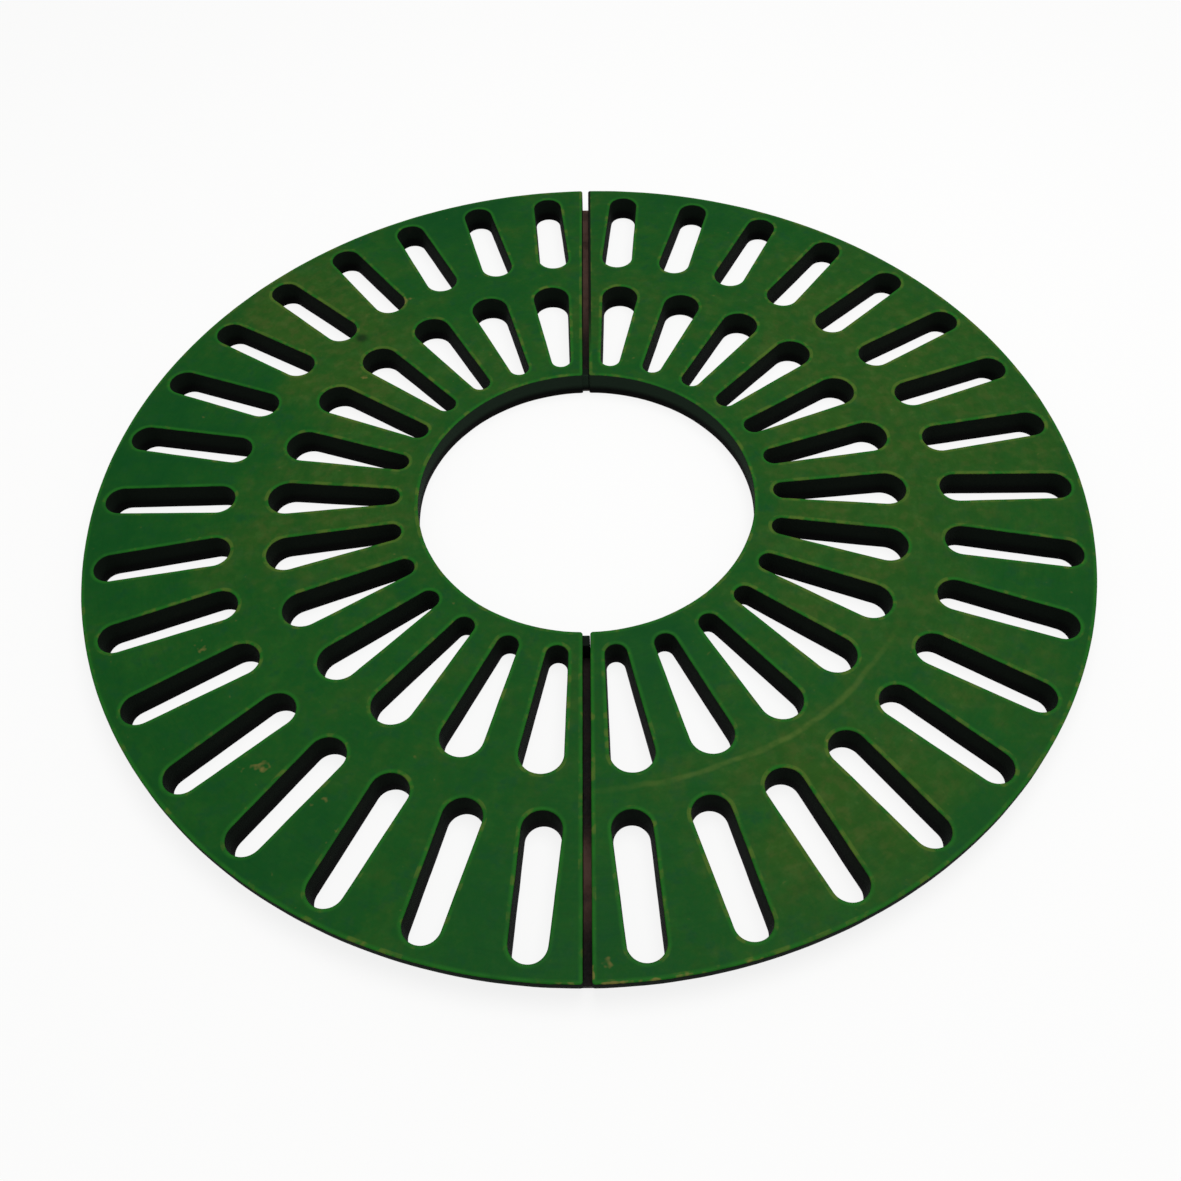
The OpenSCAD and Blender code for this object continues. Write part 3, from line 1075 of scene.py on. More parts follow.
@dataclass(frozen=True)
class ZincPlatedSteel:
    """Electroplated zinc on turned steel, gone dull.

    The eye gets a soft bluish-grey metal with a warm, chalky bloom over most of it.
    """

    zinc: str = "#b4b6b8"
    bloom: str = "#7f7c74"
    bloom_mm: float = 3.0
    # Crystals of the plating are far finer than this; drawn at 0.8 mm so that they break the shine
    crystal_mm: float = 0.8

    def material(self) -> bpy.types.Material:
        """Builds the plated steel.

        Returns:
            The material.
        """
        made, tree = blank("dulled_zinc_plated_steel")
        where = add(tree, "TexCoord", give="Object")
        cloud = {"Vector": where, "Scale": per_metre(self.bloom_mm), "Detail": 4.0, "Roughness": 0.6}
        links = {"Value": add(tree, "TexNoise", cloud), "From Min": 0.4, "From Max": 0.65}
        dull = add(tree, "MapRange", links, **SOFT)
        colour = add(tree, "Mix", {"Factor": dull, "A": linear(self.zinc), "B": linear(self.bloom)}, **TINT)
        rough = add(tree, "MapRange", {"Value": dull, "To Min": 0.32, "To Max": 0.6})
        marks = add(tree, "TexNoise", {"Vector": where, "Scale": per_metre(self.crystal_mm)})
        bump = add(tree, "Bump", {"Height": marks, "Strength": 0.3, "Distance": 0.05 * MM})
        links = {"Base Color": colour, "Roughness": rough, "Normal": bump, "Metallic": 1.0}
        add(tree, "OutputMaterial", {"Surface": add(tree, "BsdfPrincipled", links)})
        return made


@dataclass(frozen=True)
class StudioFloorPaint:
    """Matt white emulsion on a studio floor.

    The camera and shiny pieces see it nearly white, with the object's shadow. From below it lets the eye
    through, so that the underside can be looked at.
    """

    white: str = "#f2f2f0"
    # Colour and share of the glow that the camera and shiny pieces see in place of the lit paint
    glow_white: str = "#ffffff"
    glow: float = 0.84

    def material(self) -> bpy.types.Material:
        """Builds the floor's paint.

        Returns:
            The material.
        """
        made, tree = blank("matt_white_studio_floor")
        paint = add(tree, "BsdfDiffuse", {"Color": linear(self.white)})
        light = add(tree, "Emission", {"Color": linear(self.glow_white), "Strength": 1.0})
        ray = add(tree, "LightPath").node.outputs
        seen = add(tree, "Math", {0: ray["Is Camera Ray"], 1: ray["Is Glossy Ray"]}, operation="MAXIMUM")
        seen = add(tree, "Math", {0: seen, 1: ray["Is Transmission Ray"]}, operation="MAXIMUM")
        share = add(tree, "Math", {0: seen, 1: self.glow}, **TIMES)
        lit = add(tree, "MixShader", {0: share, 1: paint, 2: light})
        below = add(tree, "NewGeometry", give="Backfacing")
        shown = add(tree, "MixShader", {0: below, 1: lit, 2: add(tree, "BsdfTransparent")})
        add(tree, "OutputMaterial", {"Surface": shown})
        return made


# The castings


@dataclass(frozen=True)
class SlotRow:
    """One row of slots in a half, from the middle of its straight edge. Millimetres."""

    count: int
    start: float
    length: float
    width_in: float
    width_out: float

    @property
    def half_pitch(self) -> float:
        """Half the angle between two slots, in radians."""
        return math.pi / self.count / 2

    def slot(self) -> list[Arc]:
        """Gives the outline of a slot along +Y."""
        return tapered(self.start, self.length, self.width_in / 2, self.width_out / 2)

    def pocket(self, wall: float) -> list[Arc]:
        """Gives the outline of the blind pocket between two slots.

        Args:
            wall: Thickness of metal kept beside the slots.

        Returns:
            The arcs of its outline, along +Y.
        """
        # A slot's sides lean out by half its widening, and stand half a pitch away from the pocket's middle.
        # A circle in that wedge that keeps the wall's distance from both has a radius of room + growth * y,
        # with y the distance of its middle from the origin. The pocket runs between two such circles, the
        # first and the last of which touch the ends.
        widening = (self.width_out - self.width_in) / (self.length - (self.width_in + self.width_out) / 2)
        square = math.cos(math.asin(widening / 2))
        growth = (math.sin(self.half_pitch) - widening / 2 * math.cos(self.half_pitch)) * square
        room = -(self.width_in - widening * (self.start + self.width_in / 2)) / 2 * square - wall
        first, last = self.start + wall, self.start + self.length - wall
        r_first = (room + growth * first) / (1 - growth)
        r_last = (room + growth * last) / (1 + growth)
        return tapered(first, last - first, r_first, r_last)


def tapered(start: float, length: float, r_in: float, r_out: float) -> list[Arc]:
    """Gives the outline of a tapered slot with round ends, along +Y.

    Args:
        start: Distance of its inner end from the origin.
        length: Length from end to end.
        r_in: Radius of its inner end.
        r_out: Radius of its outer end.

    Returns:
        Its two arcs.
    """
    c_in, c_out = start + r_in, start + length - r_out
    lean = math.asin((r_out - r_in) / (c_out - c_in))
    return [
        Arc((0, c_out), r_out, -lean, math.pi + lean),
        Arc((0, c_in), r_in, math.pi + lean, TAU - lean),
    ]


@dataclass
class Castings:
    """The two halves of the grate: a slotted plate with blind pockets under its lands. Millimetres."""

    # A little inside the CAD's rim, so that the uneven edge stays within it
    rim_radius: float = 599.75
    opening_radius: float = 204.0
    depth: float = 35.0
    # Half the gap between the halves
    edge_x: float = 4.25
    # Rounding of the top edges, and of the edges at the foot with the flat that is meshed round it
    arris: float = 1.8
    arris_steps: int = 5
    foot_arris: float = 1.0
    foot_steps: int = 3
    foot_flat: float = 0.8
    pocket_flat: float = 0.6
    # Rounding of the corners in plan, which shrinks on the rings further in
    corner: float = 3.2
    least_corner: float = 0.5
    # How much wider the opening, the slots and the pockets are at their far end
    opening_flare: float = 2.0
    slot_draft: float = 2.0
    # Heights of the rings between a slot's rounded top and foot
    slot_heights: tuple[float, ...] = (24.0, 12.0)
    pocket_draft: float = 1.2
    pocket_fillet: float = 3.0
    pocket_steps: int = 4
    step_fillet: float = 2.0
    # Height over the ledge of the ring above its lower edge
    step_rise: float = 5.0
    plate: float = 12.0
    wall: float = 7.0
    rim_height: float = 12.0
    ledge: float = 8.0
    # Heights on the joint's face of the rings that shape the step in the rim
    face_heights: tuple[float, ...] = (26.0, 20.0, 18.5, 17.0, 15.5, 14.0, 12.5, 11.0, 9.5)
    channel_count: int = 5
    channel_corner: float = 6.0
    bar_room: float = 40.5
    nib_length: float = 14.0
    nib_inset: float = 0.5
    nib_top: float = 31.0
    nib_foot: float = 6.0
    nib_chamfer: float = 0.5
    nib_play: float = 0.5
    nib_round: float = 1.0
    # How far a nib reaches into the left half, in corner radii
    nib_root: float = 4.0
    nib_arris: float = 0.8
    nib_steps: int = 4
    uneven: float = 0.35
    # The band of painted highlight on the flat beside an edge: where near_edge has fallen a little, and where
    # it ends
    beside: float = 1.0
    highlight_band: float = 3.4
    # Greatest distance between the points of an outline, and the least number of steps round one of its arcs
    border_points: tuple[float, int] = (9.0, 5)
    slot_points: tuple[float, int] = (9.0, 20)
    pocket_points: tuple[float, int] = (12.0, 12)
    channel_points: tuple[float, int] = (10.0, 6)
    nib_points: tuple[float, int] = (3.0, 5)
    inner: SlotRow = SlotRow(13, 223.0, 160.0, 25.0, 48.0)
    outer: SlotRow = SlotRow(17, 424.0, 158.0, 42.0, 39.0)
    finish: RolledGreenPaint = RolledGreenPaint()

    def build(self, joint: Joint) -> None:
        """Builds both halves, cuts them for the joint and puts them in place of their CAD nodes.

        Args:
            joint: The bars, screws and dowels that the halves are cut for.
        """
        paint = self.finish.material()
        plain = self.half()
        for side, node, body in (
            (Side.LEFT, "left_half", "left_assembly"),
            (Side.RIGHT, "right_half", "lift_off_half"),
        ):
            mesh = plain.mesh("cast_" + node)
            mesh.transform(Matrix.Rotation(side.value * math.pi / 2, 4, "Z"))
            face_outwards(mesh)
            thing = put("cast_" + node, mesh)
            if side is Side.LEFT:
                work(thing, self.nibs(), Edit.ADD)
            work(thing, joint.recesses(), Edit.CUT)
            work(thing, joint.holes(side), Edit.CUT)
            thing.data.materials.clear()
            thing.data.materials.append(paint)
            smooth(thing)
            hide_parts(node)
            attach(thing, body)
            log.info("%s: %d faces", thing.name, len(thing.data.polygons))

    def rounding(self, radius: float, steps: int) -> list[tuple[float, float]]:
        """Gives how far in and how far down each ring of a rounded edge lies, from the flat down."""
        angles = [k * math.pi / 2 / steps for k in range(steps + 1)]
        return [(radius * (1 - math.sin(a)), radius * (1 - math.cos(a))) for a in angles]

    def foot_rounding(self) -> list[tuple[float, float]]:
        """Gives how far in and how high each ring of the rounded foot of a wall lies, from the wall down."""
        r, angles = self.foot_arris, [(k + 1) * math.pi / 2 / self.foot_steps for k in range(self.foot_steps)]
        return [(r * (1 - math.cos(a)), r * (1 - math.sin(a))) for a in angles]

    def border_arcs(self, rim_in: float, face_in: float, open_in: float) -> list[Arc]:
        """Gives the outline of the half on +X, with small round corners at the joint.

        Args:
            rim_in: Distance of the line inside the rim.
            face_in: Distance inside the joint's face.
            open_in: Distance inside the wall of the opening.

        Returns:
            The arcs, anticlockwise from the front end of the rim.
        """
        rim, opening = self.rim_radius - rim_in, self.opening_radius + open_in
        c_rim = max(self.corner - (rim_in + face_in) / 2, self.least_corner)
        c_open = max(self.corner - (open_in + face_in) / 2, self.least_corner)
        x_rim, x_open = self.edge_x + face_in + c_rim, self.edge_x + face_in + c_open
        y_rim = math.sqrt((rim - c_rim) ** 2 - x_rim**2)
        y_open = math.sqrt((opening + c_open) ** 2 - x_open**2)
        at_rim = math.atan2(y_rim, x_rim)
        at_open = math.atan2(y_open, x_open)
        return [
            Arc((0, 0), rim, -at_rim, at_rim, False),
            Arc((x_rim, y_rim), c_rim, at_rim, math.pi, False),
            Arc((x_open, y_open), c_open, math.pi, math.pi + at_open, False),
            Arc((0, 0), opening, at_open, -at_open, True),
            Arc((x_open, -y_open), c_open, math.pi - at_open, math.pi, False),
            Arc((x_rim, -y_rim), c_rim, math.pi, TAU - at_rim, False),
        ]

    def half(self) -> Shell:
        """Builds the closed shell of the half on +X, before the joint is cut into it.

        Returns:
            The shell.
        """
        shell = Shell()
        top_border, foot_border = self.border(shell)
        tops, feet = [], []
        middle = (self.edge_x, 0)
        for number, row in enumerate((self.inner, self.outer)):
            arcs = row.slot()
            plan = walk(arcs, steps_of(arcs, *self.slot_points))
            hollow = row.pocket(self.wall)
            hollow_plan = walk(hollow, steps_of(hollow, *self.pocket_points))
            for k in range(row.count):
                turn = -(2 * k + 1) * row.half_pitch
                # Each slot has a seed of its own: 0 and on in the inner row, 20 and on in the outer one
                edge = plan.placed(turn, middle).cast(self.uneven, 20.0 * number + k)
                top, foot = self.slot_walls(shell, edge)
                tops.append(top)
                feet.append(foot)
                if k:
                    feet.append(self.hollow(shell, hollow_plan.placed(turn + row.half_pitch, middle)))
        for outline in self.channels():
            feet.append(self.hollow(shell, outline))
        shell.fill(top_border, tops)
        shell.fill(foot_border, feet)
        return shell

    def border(self, shell: Shell) -> tuple[list[int], list[int]]:
        """Builds the outer walls: the rim over its ledge, the joint's face and the wall of the opening.

        Args:
            shell: The shell to build in.

        Returns:
            The last ring on the top and the last ring on the underside.
        """
        counts = steps_of(self.border_arcs(0, 0, 0), *self.border_points)
        base = walk(self.border_arcs(0, 0, 0), counts)
        reach = np.linalg.norm(base.points, axis=1)
        # 1 on the rim and 0 on the joint's face, changing over the round corner
        on_rim = np.clip((reach - (self.rim_radius - self.corner)) / self.corner, 0, 1)
        # The seed lies past those of the slots
        wander = base.cast(self.uneven, 77.0).points - base.points

        def ring(rim: tuple[float, float], face: tuple[float, float], near: float = 0.0) -> list[int]:
            """Adds a ring whose inset and height differ on the rim and elsewhere.

            Args:
                rim: Its inset and height on the rim.
                face: Its inset and height on the joint's face and the wall of the opening.
                near: Closeness to a top edge, from 0 to 1.

            Returns:
                The numbers of the new vertices.
            """
            lean = self.opening_flare * (1 - face[1] / self.depth)
            plan = walk(self.border_arcs(rim[0], face[0], face[0] + lean), counts).points + wander
            return shell.ring(plan, on_rim * rim[1] + (1 - on_rim) * face[1], near)

        top, foot = self.depth, self.foot_arris
        wide, narrow = (self.arris + self.highlight_band, top), (self.arris + self.beside, top)
        rings = [ring(wide, wide), ring(narrow, narrow, BESIDE_EDGE)]
        for inset, drop in self.rounding(self.arris, self.arris_steps):
            rings.append(ring((inset, top - drop), (inset, top - drop), ON_EDGE))

        # The rim's lower edge, and the fillet in the corner under its ledge
        step = top - self.rim_height
        rim = [(0, step + self.step_rise), (0, step + foot)]
        rim += [(inset, step + rise) for inset, rise in self.foot_rounding()]
        fillet = self.rounding(self.step_fillet, self.foot_steps)
        rim += [(self.ledge - proud, step - drop) for proud, drop in fillet]
        rings += [ring(spot, (0, height)) for spot, height in zip(rim, self.face_heights, strict=True)]

        rings.append(ring((self.ledge, foot), (0, foot)))
        for inset, rise in self.foot_rounding():
            rings.append(ring((self.ledge + inset, rise), (inset, rise)))
        rings.append(ring((self.ledge + foot + self.foot_flat, 0), (foot + self.foot_flat, 0)))
        shell.skin(rings)
        return rings[0], rings[-1]

    def slot_walls(self, shell: Shell, edge: Outline) -> tuple[list[int], list[int]]:
        """Builds the walls of a slot, from the flat round its top edge to the flat round its foot.

        Args:
            shell: The shell to build in.
            edge: Outline of the slot at its top.

        Returns:
            The last ring on the top and the last ring on the underside.
        """
        rings = [
            shell.ring(edge.moved(self.arris + self.highlight_band), self.depth),
            shell.ring(edge.moved(self.arris + self.beside), self.depth, BESIDE_EDGE),
        ]
        for inset, drop in self.rounding(self.arris, self.arris_steps):
            rings.append(shell.ring(edge.moved(inset), self.depth - drop, ON_EDGE))
        for height in (*self.slot_heights, self.foot_arris):
            lean = self.slot_draft * (1 - height / (self.depth - self.arris))
            rings.append(shell.ring(edge.moved(-lean), height))
        for inset, rise in self.foot_rounding():
            rings.append(shell.ring(edge.moved(inset - self.slot_draft), rise))
        rings.append(shell.ring(edge.moved(self.foot_arris + self.foot_flat - self.slot_draft), 0))
        shell.skin(rings)
        return rings[0], rings[-1]

    def hollow(self, shell: Shell, outline: Outline) -> list[int]:
        """Builds a blind pocket in the underside, with a filleted ceiling.

        Args:
            shell: The shell to build in.
            outline: Outline of its mouth.

        Returns:
            The last ring on the underside.
        """
        ceiling = self.depth - self.plate
        rings = [shell.ring(outline.moved(self.foot_arris + self.pocket_flat), 0)]
        for inset, rise in self.rounding(self.foot_arris, self.foot_steps):
            rings.append(shell.ring(outline.moved(inset), rise))
        for drop, inset in self.rounding(self.pocket_fillet, self.pocket_steps):
            rings.append(shell.ring(outline.moved(-(self.pocket_draft + inset)), ceiling - drop))
        lean = self.pocket_draft + self.pocket_fillet + self.pocket_flat
        rings.append(shell.ring(outline.moved(-lean), ceiling))
        shell.skin(rings)
        shell.fill(rings[-1], [])
        return rings[0]

    def nibs(self) -> Shell:
        """Builds the two cast nibs that keep the joint open beside the opening, on the left half's face.

        Returns:
            One shell with both nibs.
        """
        whole = Shell()
        r = self.nib_round
        left, right = -self.edge_x - self.nib_root * r, self.edge_x - self.nib_play
        near = self.opening_radius + self.opening_flare + self.nib_inset
        far = near + self.nib_length
        corners = [(right - r, near + r), (right - r, far - r), (left + r, far - r), (left + r, near + r)]
        arcs = [Arc(c, r, (k - 1) * math.pi / 2, k * math.pi / 2, False) for k, c in enumerate(corners)]
        plan = walk(arcs, steps_of(arcs, *self.nib_points))
        for end in End:
            shell = Shell()
            flip = np.array([1.0, end.value])
            rounds = self.rounding(self.nib_arris, self.nib_steps)
            rings = [shell.ring(plan.moved(inset) * flip, self.nib_top - drop) for inset, drop in rounds]
            rings.append(shell.ring(plan.points * flip, self.nib_foot + self.nib_chamfer))
            rings.append(shell.ring(plan.moved(self.nib_chamfer) * flip, self.nib_foot))
            shell.close_with_triangles(rings)
            whole.take(shell)
        return whole

    def channels(self) -> list[Outline]:
        """Gives the curved pockets under the ring between the rows, with rounded corners.

        Returns:
            Their outlines in place.
        """
        inner = self.inner.start + self.inner.length + self.wall
        outer = self.outer.start - self.wall
        skip = math.asin((self.bar_room + self.wall - self.edge_x) / inner)
        pitch = (math.pi - 2 * skip) / self.channel_count
        sweep = pitch - self.wall / inner
        r = self.channel_corner
        near, far = math.asin(r / (inner + r)), math.asin(r / (outer - r))
        low = ((inner + r) * math.cos(near), (inner + r) * math.sin(near))
        high = ((outer - r) * math.cos(far), (outer - r) * math.sin(far))

        def other_end(point: tuple[float, float]) -> tuple[float, float]:
            """Mirrors a corner's centre to the pocket's other end."""
            c, s = math.cos(sweep), math.sin(sweep)
            return c * point[0] + s * point[1], s * point[0] - c * point[1]

        arcs = [
            Arc((0, 0), outer, far, sweep - far),
            Arc(other_end(high), r, sweep - far, sweep + math.pi / 2),
            Arc(other_end(low), r, sweep + math.pi / 2, sweep + math.pi - near),
            Arc((0, 0), inner, sweep - near, near, False),
            Arc(low, r, math.pi + near, math.pi * 1.5),
            Arc(high, r, math.pi * 1.5, TAU + far),
        ]
        plan = walk(arcs, steps_of(arcs, *self.channel_points))
        first = -math.pi / 2 + skip + self.wall / inner / 2
        return [plan.placed(first + k * pitch, (self.edge_x, 0)) for k in range(self.channel_count)]


# The joint


@dataclass
class Joint:
    """The bars under the joint, their countersunk screws and the dowels. Millimetres."""

    bar_half_width: float = 12.0
    bar_lift: float = 0.5
    bar_height: float = 5.0
    play: float = 0.5
    arm_half_width: float = 6.5
    bar_start: float = 209.5
    # Place of each arm's middle along Y, and how far its round end reaches along X
    arms: tuple[tuple[float, float], ...] = ((216.0, 24.0), (403.5, 40.0), (574.0, 24.0))
    # The cutter of a recess: steps round an arm's end, and its ends past the rim and below the bed
    arm_steps: int = 12
    recess_stop: float = 640.0
    recess_foot: float = -2.0
    screw_x: float = -17.0
    screw_radius: float = 3.0
    screw_length: float = 16.0
    head_radius: float = 5.5
    head_inset: float = 0.2
    socket_radius: float = 2.31
    socket_depth: float = 2.2
    # Lead-in of the socket: its height, and how much wider its mouth is
    socket_lead: float = 0.3
    socket_mouth: float = 1.12
    head_arris: float = 0.15
    screw_sides: int = 36
    # The thread: where it starts past the head and stops short of the tip, and its depth in pitches
    thread_pitch: float = 1.0
    thread_start: float = 1.0
    thread_stop: float = 1.2
    thread_depth: float = 0.61
    # Steps in a turn of the thread, and the share of a turn that its crest and its root each take
    thread_steps: int = 8
    thread_flat: float = 0.12
    # Each ring of the shank's blunt tip: how far in, and how far short of the end
    screw_tip: tuple[tuple[float, float], ...] = ((0.1, 0.9), (0.9, 0.0))
    dowel: tuple[float, float] = (30.0, 403.5)
    dowel_radius: float = 4.0
    dowel_rise: float = 12.0
    dowel_sides: int = 48
    # Each ring of the dowel's lead and of its chamfer: how far in, and how far from its foot or its top
    dowel_lead: tuple[tuple[float, float], ...] = ((0.5, 0.0), (0.15, 0.15), (0.0, 0.5), (0.0, 8.0))
    dowel_chamfer: tuple[tuple[float, float], ...] = ((0.0, 1.7), (0.1, 1.4), (1.35, 0.1), (1.55, 0.0))
    hold_play: float = 0.05
    dowel_play: float = 0.4
    end_space: float = 2.0
    # The drilled holes: their sides, how far below the bar's top their cutter starts, and the drill's point
    hole_sides: int = 32
    hole_start: float = 1.0
    drill_half_angle: float = 59.0
    drill_point: float = 0.02
    broken_edge: float = 0.4
    bar_finish: SiltedFlatBar = SiltedFlatBar()
    metal_finish: ZincPlatedSteel = ZincPlatedSteel()

    @property
    def bar_top(self) -> float:
        """Height of the top of the bars."""
        return self.bar_lift + self.bar_height

    def recess_plan(self) -> np.ndarray:
        """Gives the outline of the recess for the bar behind the opening.

        Returns:
            Its points in plan, as an array of n by 2.
        """
        half, r = self.bar_half_width + self.play, self.arm_half_width + self.play
        right: list[tuple[float, float]] = []
        for y, reach in self.arms:
            stop = reach - self.arm_half_width
            if y - r > self.bar_start:
                right.append((half, y - r))
            for k in range(self.arm_steps + 1):
                angle = -math.pi / 2 + math.pi * k / self.arm_steps
                right.append((stop + r * math.cos(angle), y + r * math.sin(angle)))
            right.append((half, y + r))
        right.append((half, self.recess_stop))
        return np.array(right + [(-x, y) for x, y in reversed(right)])

    def recesses(self) -> Shell:
        """Gives the cutter of the two recesses.

        Returns:
            One shell for both.
        """
        shell = Shell()
        for end in End:
            plan = self.recess_plan() * np.array([1.0, end.value])
            heights = (self.recess_foot, self.bar_top)
            shell.close_with_triangles([shell.ring(plan, height) for height in heights])
        return shell

    def holes(self, side: Side) -> Shell:
        """Gives the cutter of the blind holes in a half.

        Args:
            side: The half: its left one takes the screws and its right one drops over the dowels.

        Returns:
            One shell for all of its holes.
        """
        whole = Shell()
        slope = math.tan(math.radians(self.drill_half_angle))
        for end in End:
            if side is Side.LEFT:
                radius = self.screw_radius + self.hold_play
                top = self.bar_lift + self.head_inset + self.screw_length + self.end_space
                spots = [(self.screw_x, end.value * y) for y, _ in self.arms]
            else:
                radius = self.dowel_radius + self.dowel_play
                top = self.bar_top + self.dowel_rise + self.end_space
                spots = [(self.dowel[0], end.value * self.dowel[1])]
            start, point = self.bar_top - self.hole_start, top + radius / slope
            profile = [(radius, start), (radius, top), (self.drill_point, point)]
            for spot in spots:
                whole.take(turned(profile, spot, self.hole_sides))
        return whole

    def build(self) -> None:
        """Dresses the bars and builds the screws and dowels in place of their CAD nodes."""
        steel = self.bar_finish.material()
        plated = self.metal_finish.material()
        for end in End:
            tag = end.name.lower()
            self.dress_bar(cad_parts["joint_bar_" + tag], steel)
            self.screws(end, "bar_screws_" + tag, plated)
            self.dowel_piece(end, "locating_dowel_" + tag, plated)

    def dress_bar(self, bar: bpy.types.Object, steel: bpy.types.Material) -> None:
        """Gives a bar, which is the CAD's own, broken edges and its finish.

        Args:
            bar: The bar's object.
            steel: Its material.
        """
        weld = bar.modifiers.new("weld", "WELD")
        weld.merge_threshold = 0.01 * MM
        edge = bar.modifiers.new("broken_edge", "BEVEL")
        edge.width = self.broken_edge * MM
        edge.segments = 2
        edge.limit_method = "ANGLE"
        edge.angle_limit = math.radians(50)
        bar.data.materials.clear()
        bar.data.materials.append(steel)
        log.info("%s: the CAD's mesh with broken edges", bar.name)

    def screws(self, end: End, node: str, plated: bpy.types.Material) -> None:
        """Builds the three screws of a bar, with a thread and a hexagon socket.

        Args:
            end: The bar's end of the joint.
            node: The CAD node that they stand for.
            plated: Their material.
        """
        whole = Shell()
        for y, _ in self.arms:
            whole.take(self.one_screw((self.screw_x, end.value * y)))
        self.put_plated(whole, "threaded_" + node, node, plated, 40)

    def one_screw(self, centre: tuple[float, float]) -> Shell:
        """Builds a countersunk screw, head down: socket, cone, shank and a cut thread.

        Args:
            centre: Its axis in plan.

        Returns:
            Its closed shell.
        """
        shell = Shell()
        turn = np.arange(self.screw_sides) * TAU / self.screw_sides
        circle = unit(turn)
        # A hexagon with as many points as the round, for the socket
        flat = np.cos(np.pi / 6) / np.cos((turn + np.pi / 6) % (np.pi / 3) - np.pi / 6)
        hexagon = circle * flat[:, None] * self.socket_radius
        base = self.bar_lift + self.head_inset
        neck = base + self.head_radius - self.screw_radius
        tip = base + self.screw_length
        at = np.array(centre)
        rings = [
            shell.ring(at + hexagon, base + self.socket_depth),
            shell.ring(at + hexagon, base + self.socket_lead),
            shell.ring(at + hexagon * self.socket_mouth, base),
            shell.ring(at + circle * (self.head_radius - self.head_arris), base),
            shell.ring(at + circle * self.head_radius, base + self.head_arris),
            shell.ring(at + circle * self.screw_radius, neck),
        ]
        # The thread: each ring dips by where it stands in the turn of the helix, and both ends fade out
        steps, crest, root = self.thread_steps, self.thread_flat, 1 - self.thread_flat
        start, stop = neck + self.thread_start, tip - self.thread_stop
        count = int((stop - start) / self.thread_pitch * steps)
        for k in range(count + 1):
            height = start + k * self.thread_pitch / steps
            phase = ((height - start) / self.thread_pitch - turn / TAU) % 1
            dip = np.clip(np.abs(phase - 0.5) * 2, crest, root) - crest
            fade = min(1.0, k / steps, (count - k) / steps)
            depth = self.thread_depth * self.thread_pitch * fade * dip / (root - crest)
            rings.append(shell.ring(at + circle * (self.screw_radius - depth)[:, None], height))
        for inset, short in self.screw_tip:
            rings.append(shell.ring(at + circle * (self.screw_radius - inset), tip - short))
        shell.close(rings)
        return shell

    def dowel_piece(self, end: End, node: str, plated: bpy.types.Material) -> None:
        """Builds a dowel with a chamfered top and a small lead at its foot.

        Args:
            end: Its end of the joint.
            node: The CAD node that it stands for.
            plated: Its material.
        """
        r, low, top = self.dowel_radius, self.bar_lift, self.bar_top + self.dowel_rise
        profile = [(r - inset, low + rise) for inset, rise in self.dowel_lead]
        profile += [(r - inset, top - drop) for inset, drop in self.dowel_chamfer]
        shell = turned(profile, (self.dowel[0], end.value * self.dowel[1]), self.dowel_sides)
        self.put_plated(shell, "chamfered_" + node, node, plated, 30)

    def put_plated(
        self, shell: Shell, name: str, node: str, plated: bpy.types.Material, crease: float
    ) -> None:
        """Puts a plated piece in the scene in place of its CAD node.

        Args:
            shell: Its closed shell.
            name: Its name.
            node: The CAD node that it stands for.
            plated: Its material.
            crease: Angle in degrees above which its edges stay sharp.
        """
        mesh = shell.mesh(name)
        face_outwards(mesh)
        thing = put(name, mesh)
        mesh.materials.append(plated)
        smooth(thing, crease)
        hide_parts(node)
        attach(thing, "left_assembly")
        log.info("%s: %d faces", name, len(mesh.polygons))


# The studio


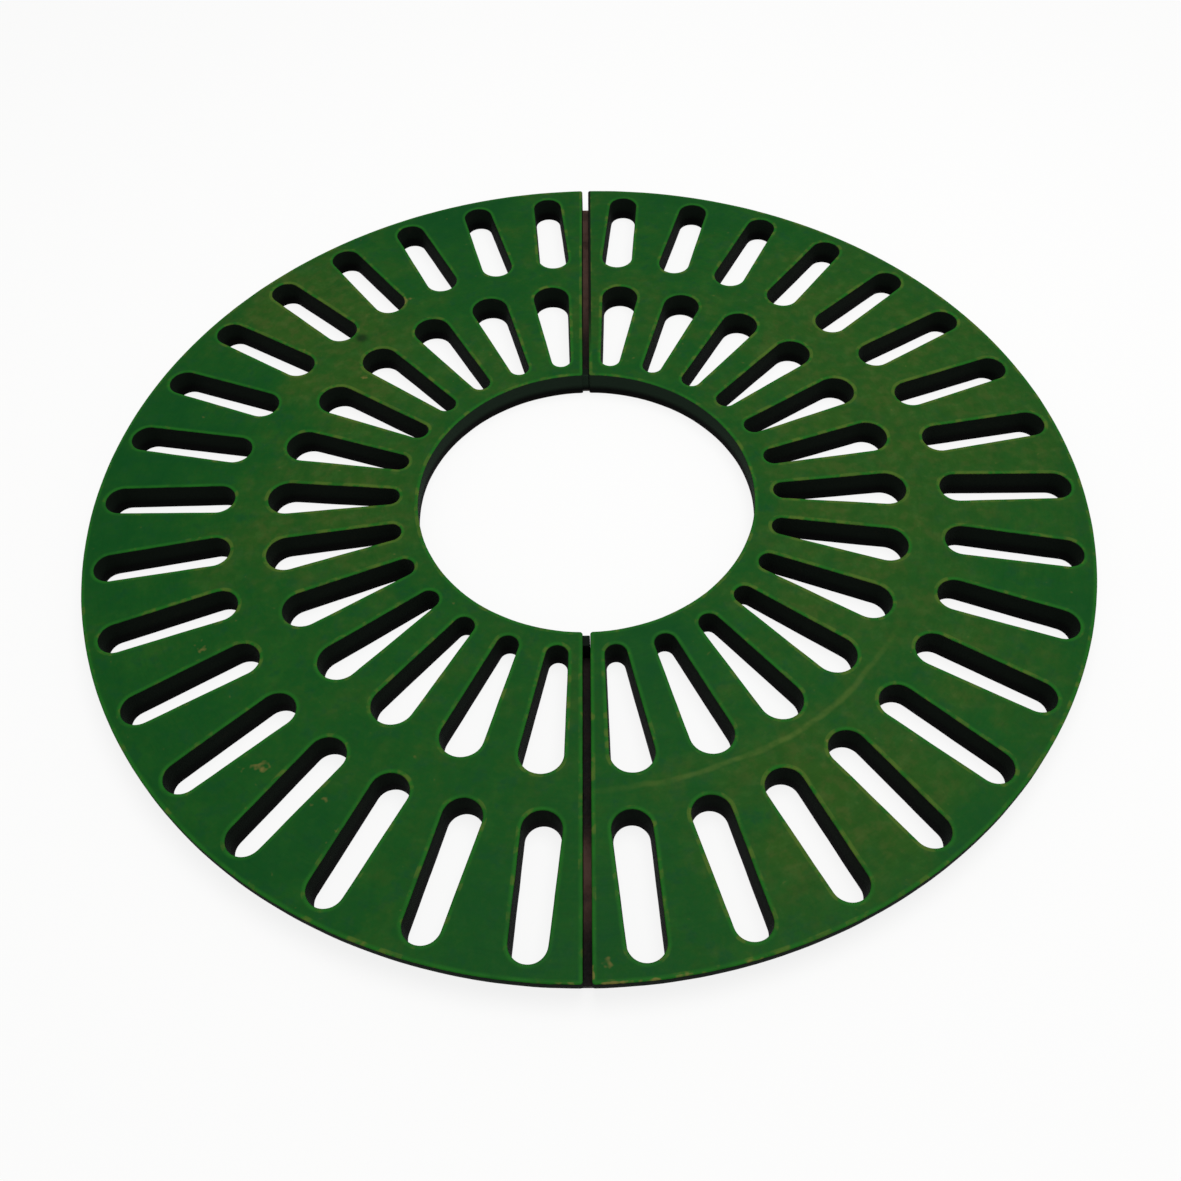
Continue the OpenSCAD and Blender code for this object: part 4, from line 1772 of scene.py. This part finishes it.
@dataclass
class Studio:
    """The floor, the soft light and the camera. Metres and degrees, and the sensor in millimetres."""

    floor_radius: float = 14.0
    floor_sides: int = 96
    floor_drop: float = 0.0004
    world_white: str = "#ffffff"
    # Strength of the world as a light, and as the camera sees it, where it is as bright as the far floor
    ambient: float = 0.455
    horizon: float = 0.905
    box_power: float = 51.0
    box_size: float = 2.2
    box_place: tuple[float, float, float] = (0.4, 0.25, 2.7)
    camera_place: tuple[float, float, float] = (0.02352, -0.97730, 1.16228)
    pitch_down: float = 53.6349
    yaw: float = 1.29381
    roll: float = -1.91396
    focal_px: float = 1224.82
    frame_px: float = 1181.0
    sensor: float = 36.0
    clip: tuple[float, float] = (0.01, 100.0)
    floor_finish: StudioFloorPaint = StudioFloorPaint()

    def build(self) -> None:
        """Builds floor, light and camera, and sets the plain view transform."""
        self.floor()
        self.light()
        self.camera()
        bpy.context.scene.view_settings.view_transform = "Standard"

    def floor(self) -> None:
        """Lays a wide round floor just under the grate."""
        edge = self.floor_radius * unit(np.arange(self.floor_sides) * TAU / self.floor_sides)
        points = [(x, y, -self.floor_drop) for x, y in edge]
        mesh = bpy.data.meshes.new("studio_floor")
        mesh.from_pydata(points, [], [tuple(range(len(points)))])
        mesh.materials.append(self.floor_finish.material())
        put("studio_floor", mesh)
        log.info("studio_floor: laid")

    def light(self) -> None:
        """Hangs one large soft box above and to the right, and sets the world to a soft even white."""
        lamp = bpy.data.lights.new("soft_box", "AREA")
        lamp.shape, lamp.size, lamp.energy = "DISK", self.box_size, self.box_power
        thing = bpy.data.objects.new("soft_box", lamp)
        thing.location = self.box_place
        thing.rotation_mode = "QUATERNION"
        thing.rotation_quaternion = (-Vector(self.box_place)).to_track_quat("-Z", "Y")
        bpy.context.scene.collection.objects.link(thing)
        world = bpy.data.worlds.new("studio_world")
        bpy.context.scene.world = world
        world.use_nodes = True
        tree = world.node_tree
        tree.nodes.clear()
        white = linear(self.world_white)
        light = add(tree, "Background", {"Color": white, "Strength": self.ambient})
        backdrop = add(tree, "Background", {"Color": white, "Strength": self.horizon})
        seen = add(tree, "LightPath", give="Is Camera Ray")
        add(tree, "OutputWorld", {"Surface": add(tree, "MixShader", {0: seen, 1: light, 2: backdrop})})

    def camera(self) -> None:
        """Sets the camera up as the photo was taken: by hand, from above the front edge."""
        data = bpy.data.cameras.new("camera")
        data.sensor_fit, data.sensor_width = "HORIZONTAL", self.sensor
        data.lens = self.focal_px / self.frame_px * self.sensor
        data.clip_start, data.clip_end = self.clip
        thing = bpy.data.objects.new("camera", data)
        turn = (
            Matrix.Rotation(math.radians(self.yaw), 4, "Z")
            @ Matrix.Rotation(math.radians(90 - self.pitch_down), 4, "X")
            @ Matrix.Rotation(math.radians(self.roll), 4, "Z")
        )
        thing.matrix_world = Matrix.Translation(self.camera_place) @ turn
        bpy.context.scene.collection.objects.link(thing)
        bpy.context.scene.camera = thing


def main() -> None:
    """Builds the studio, the castings and the joint, in that order."""
    logging.basicConfig(level=logging.INFO, format="%(name)s: %(message)s")
    Studio().build()
    joint = Joint()
    Castings().build(joint)
    joint.build()


if __name__ == "__main__":
    main()
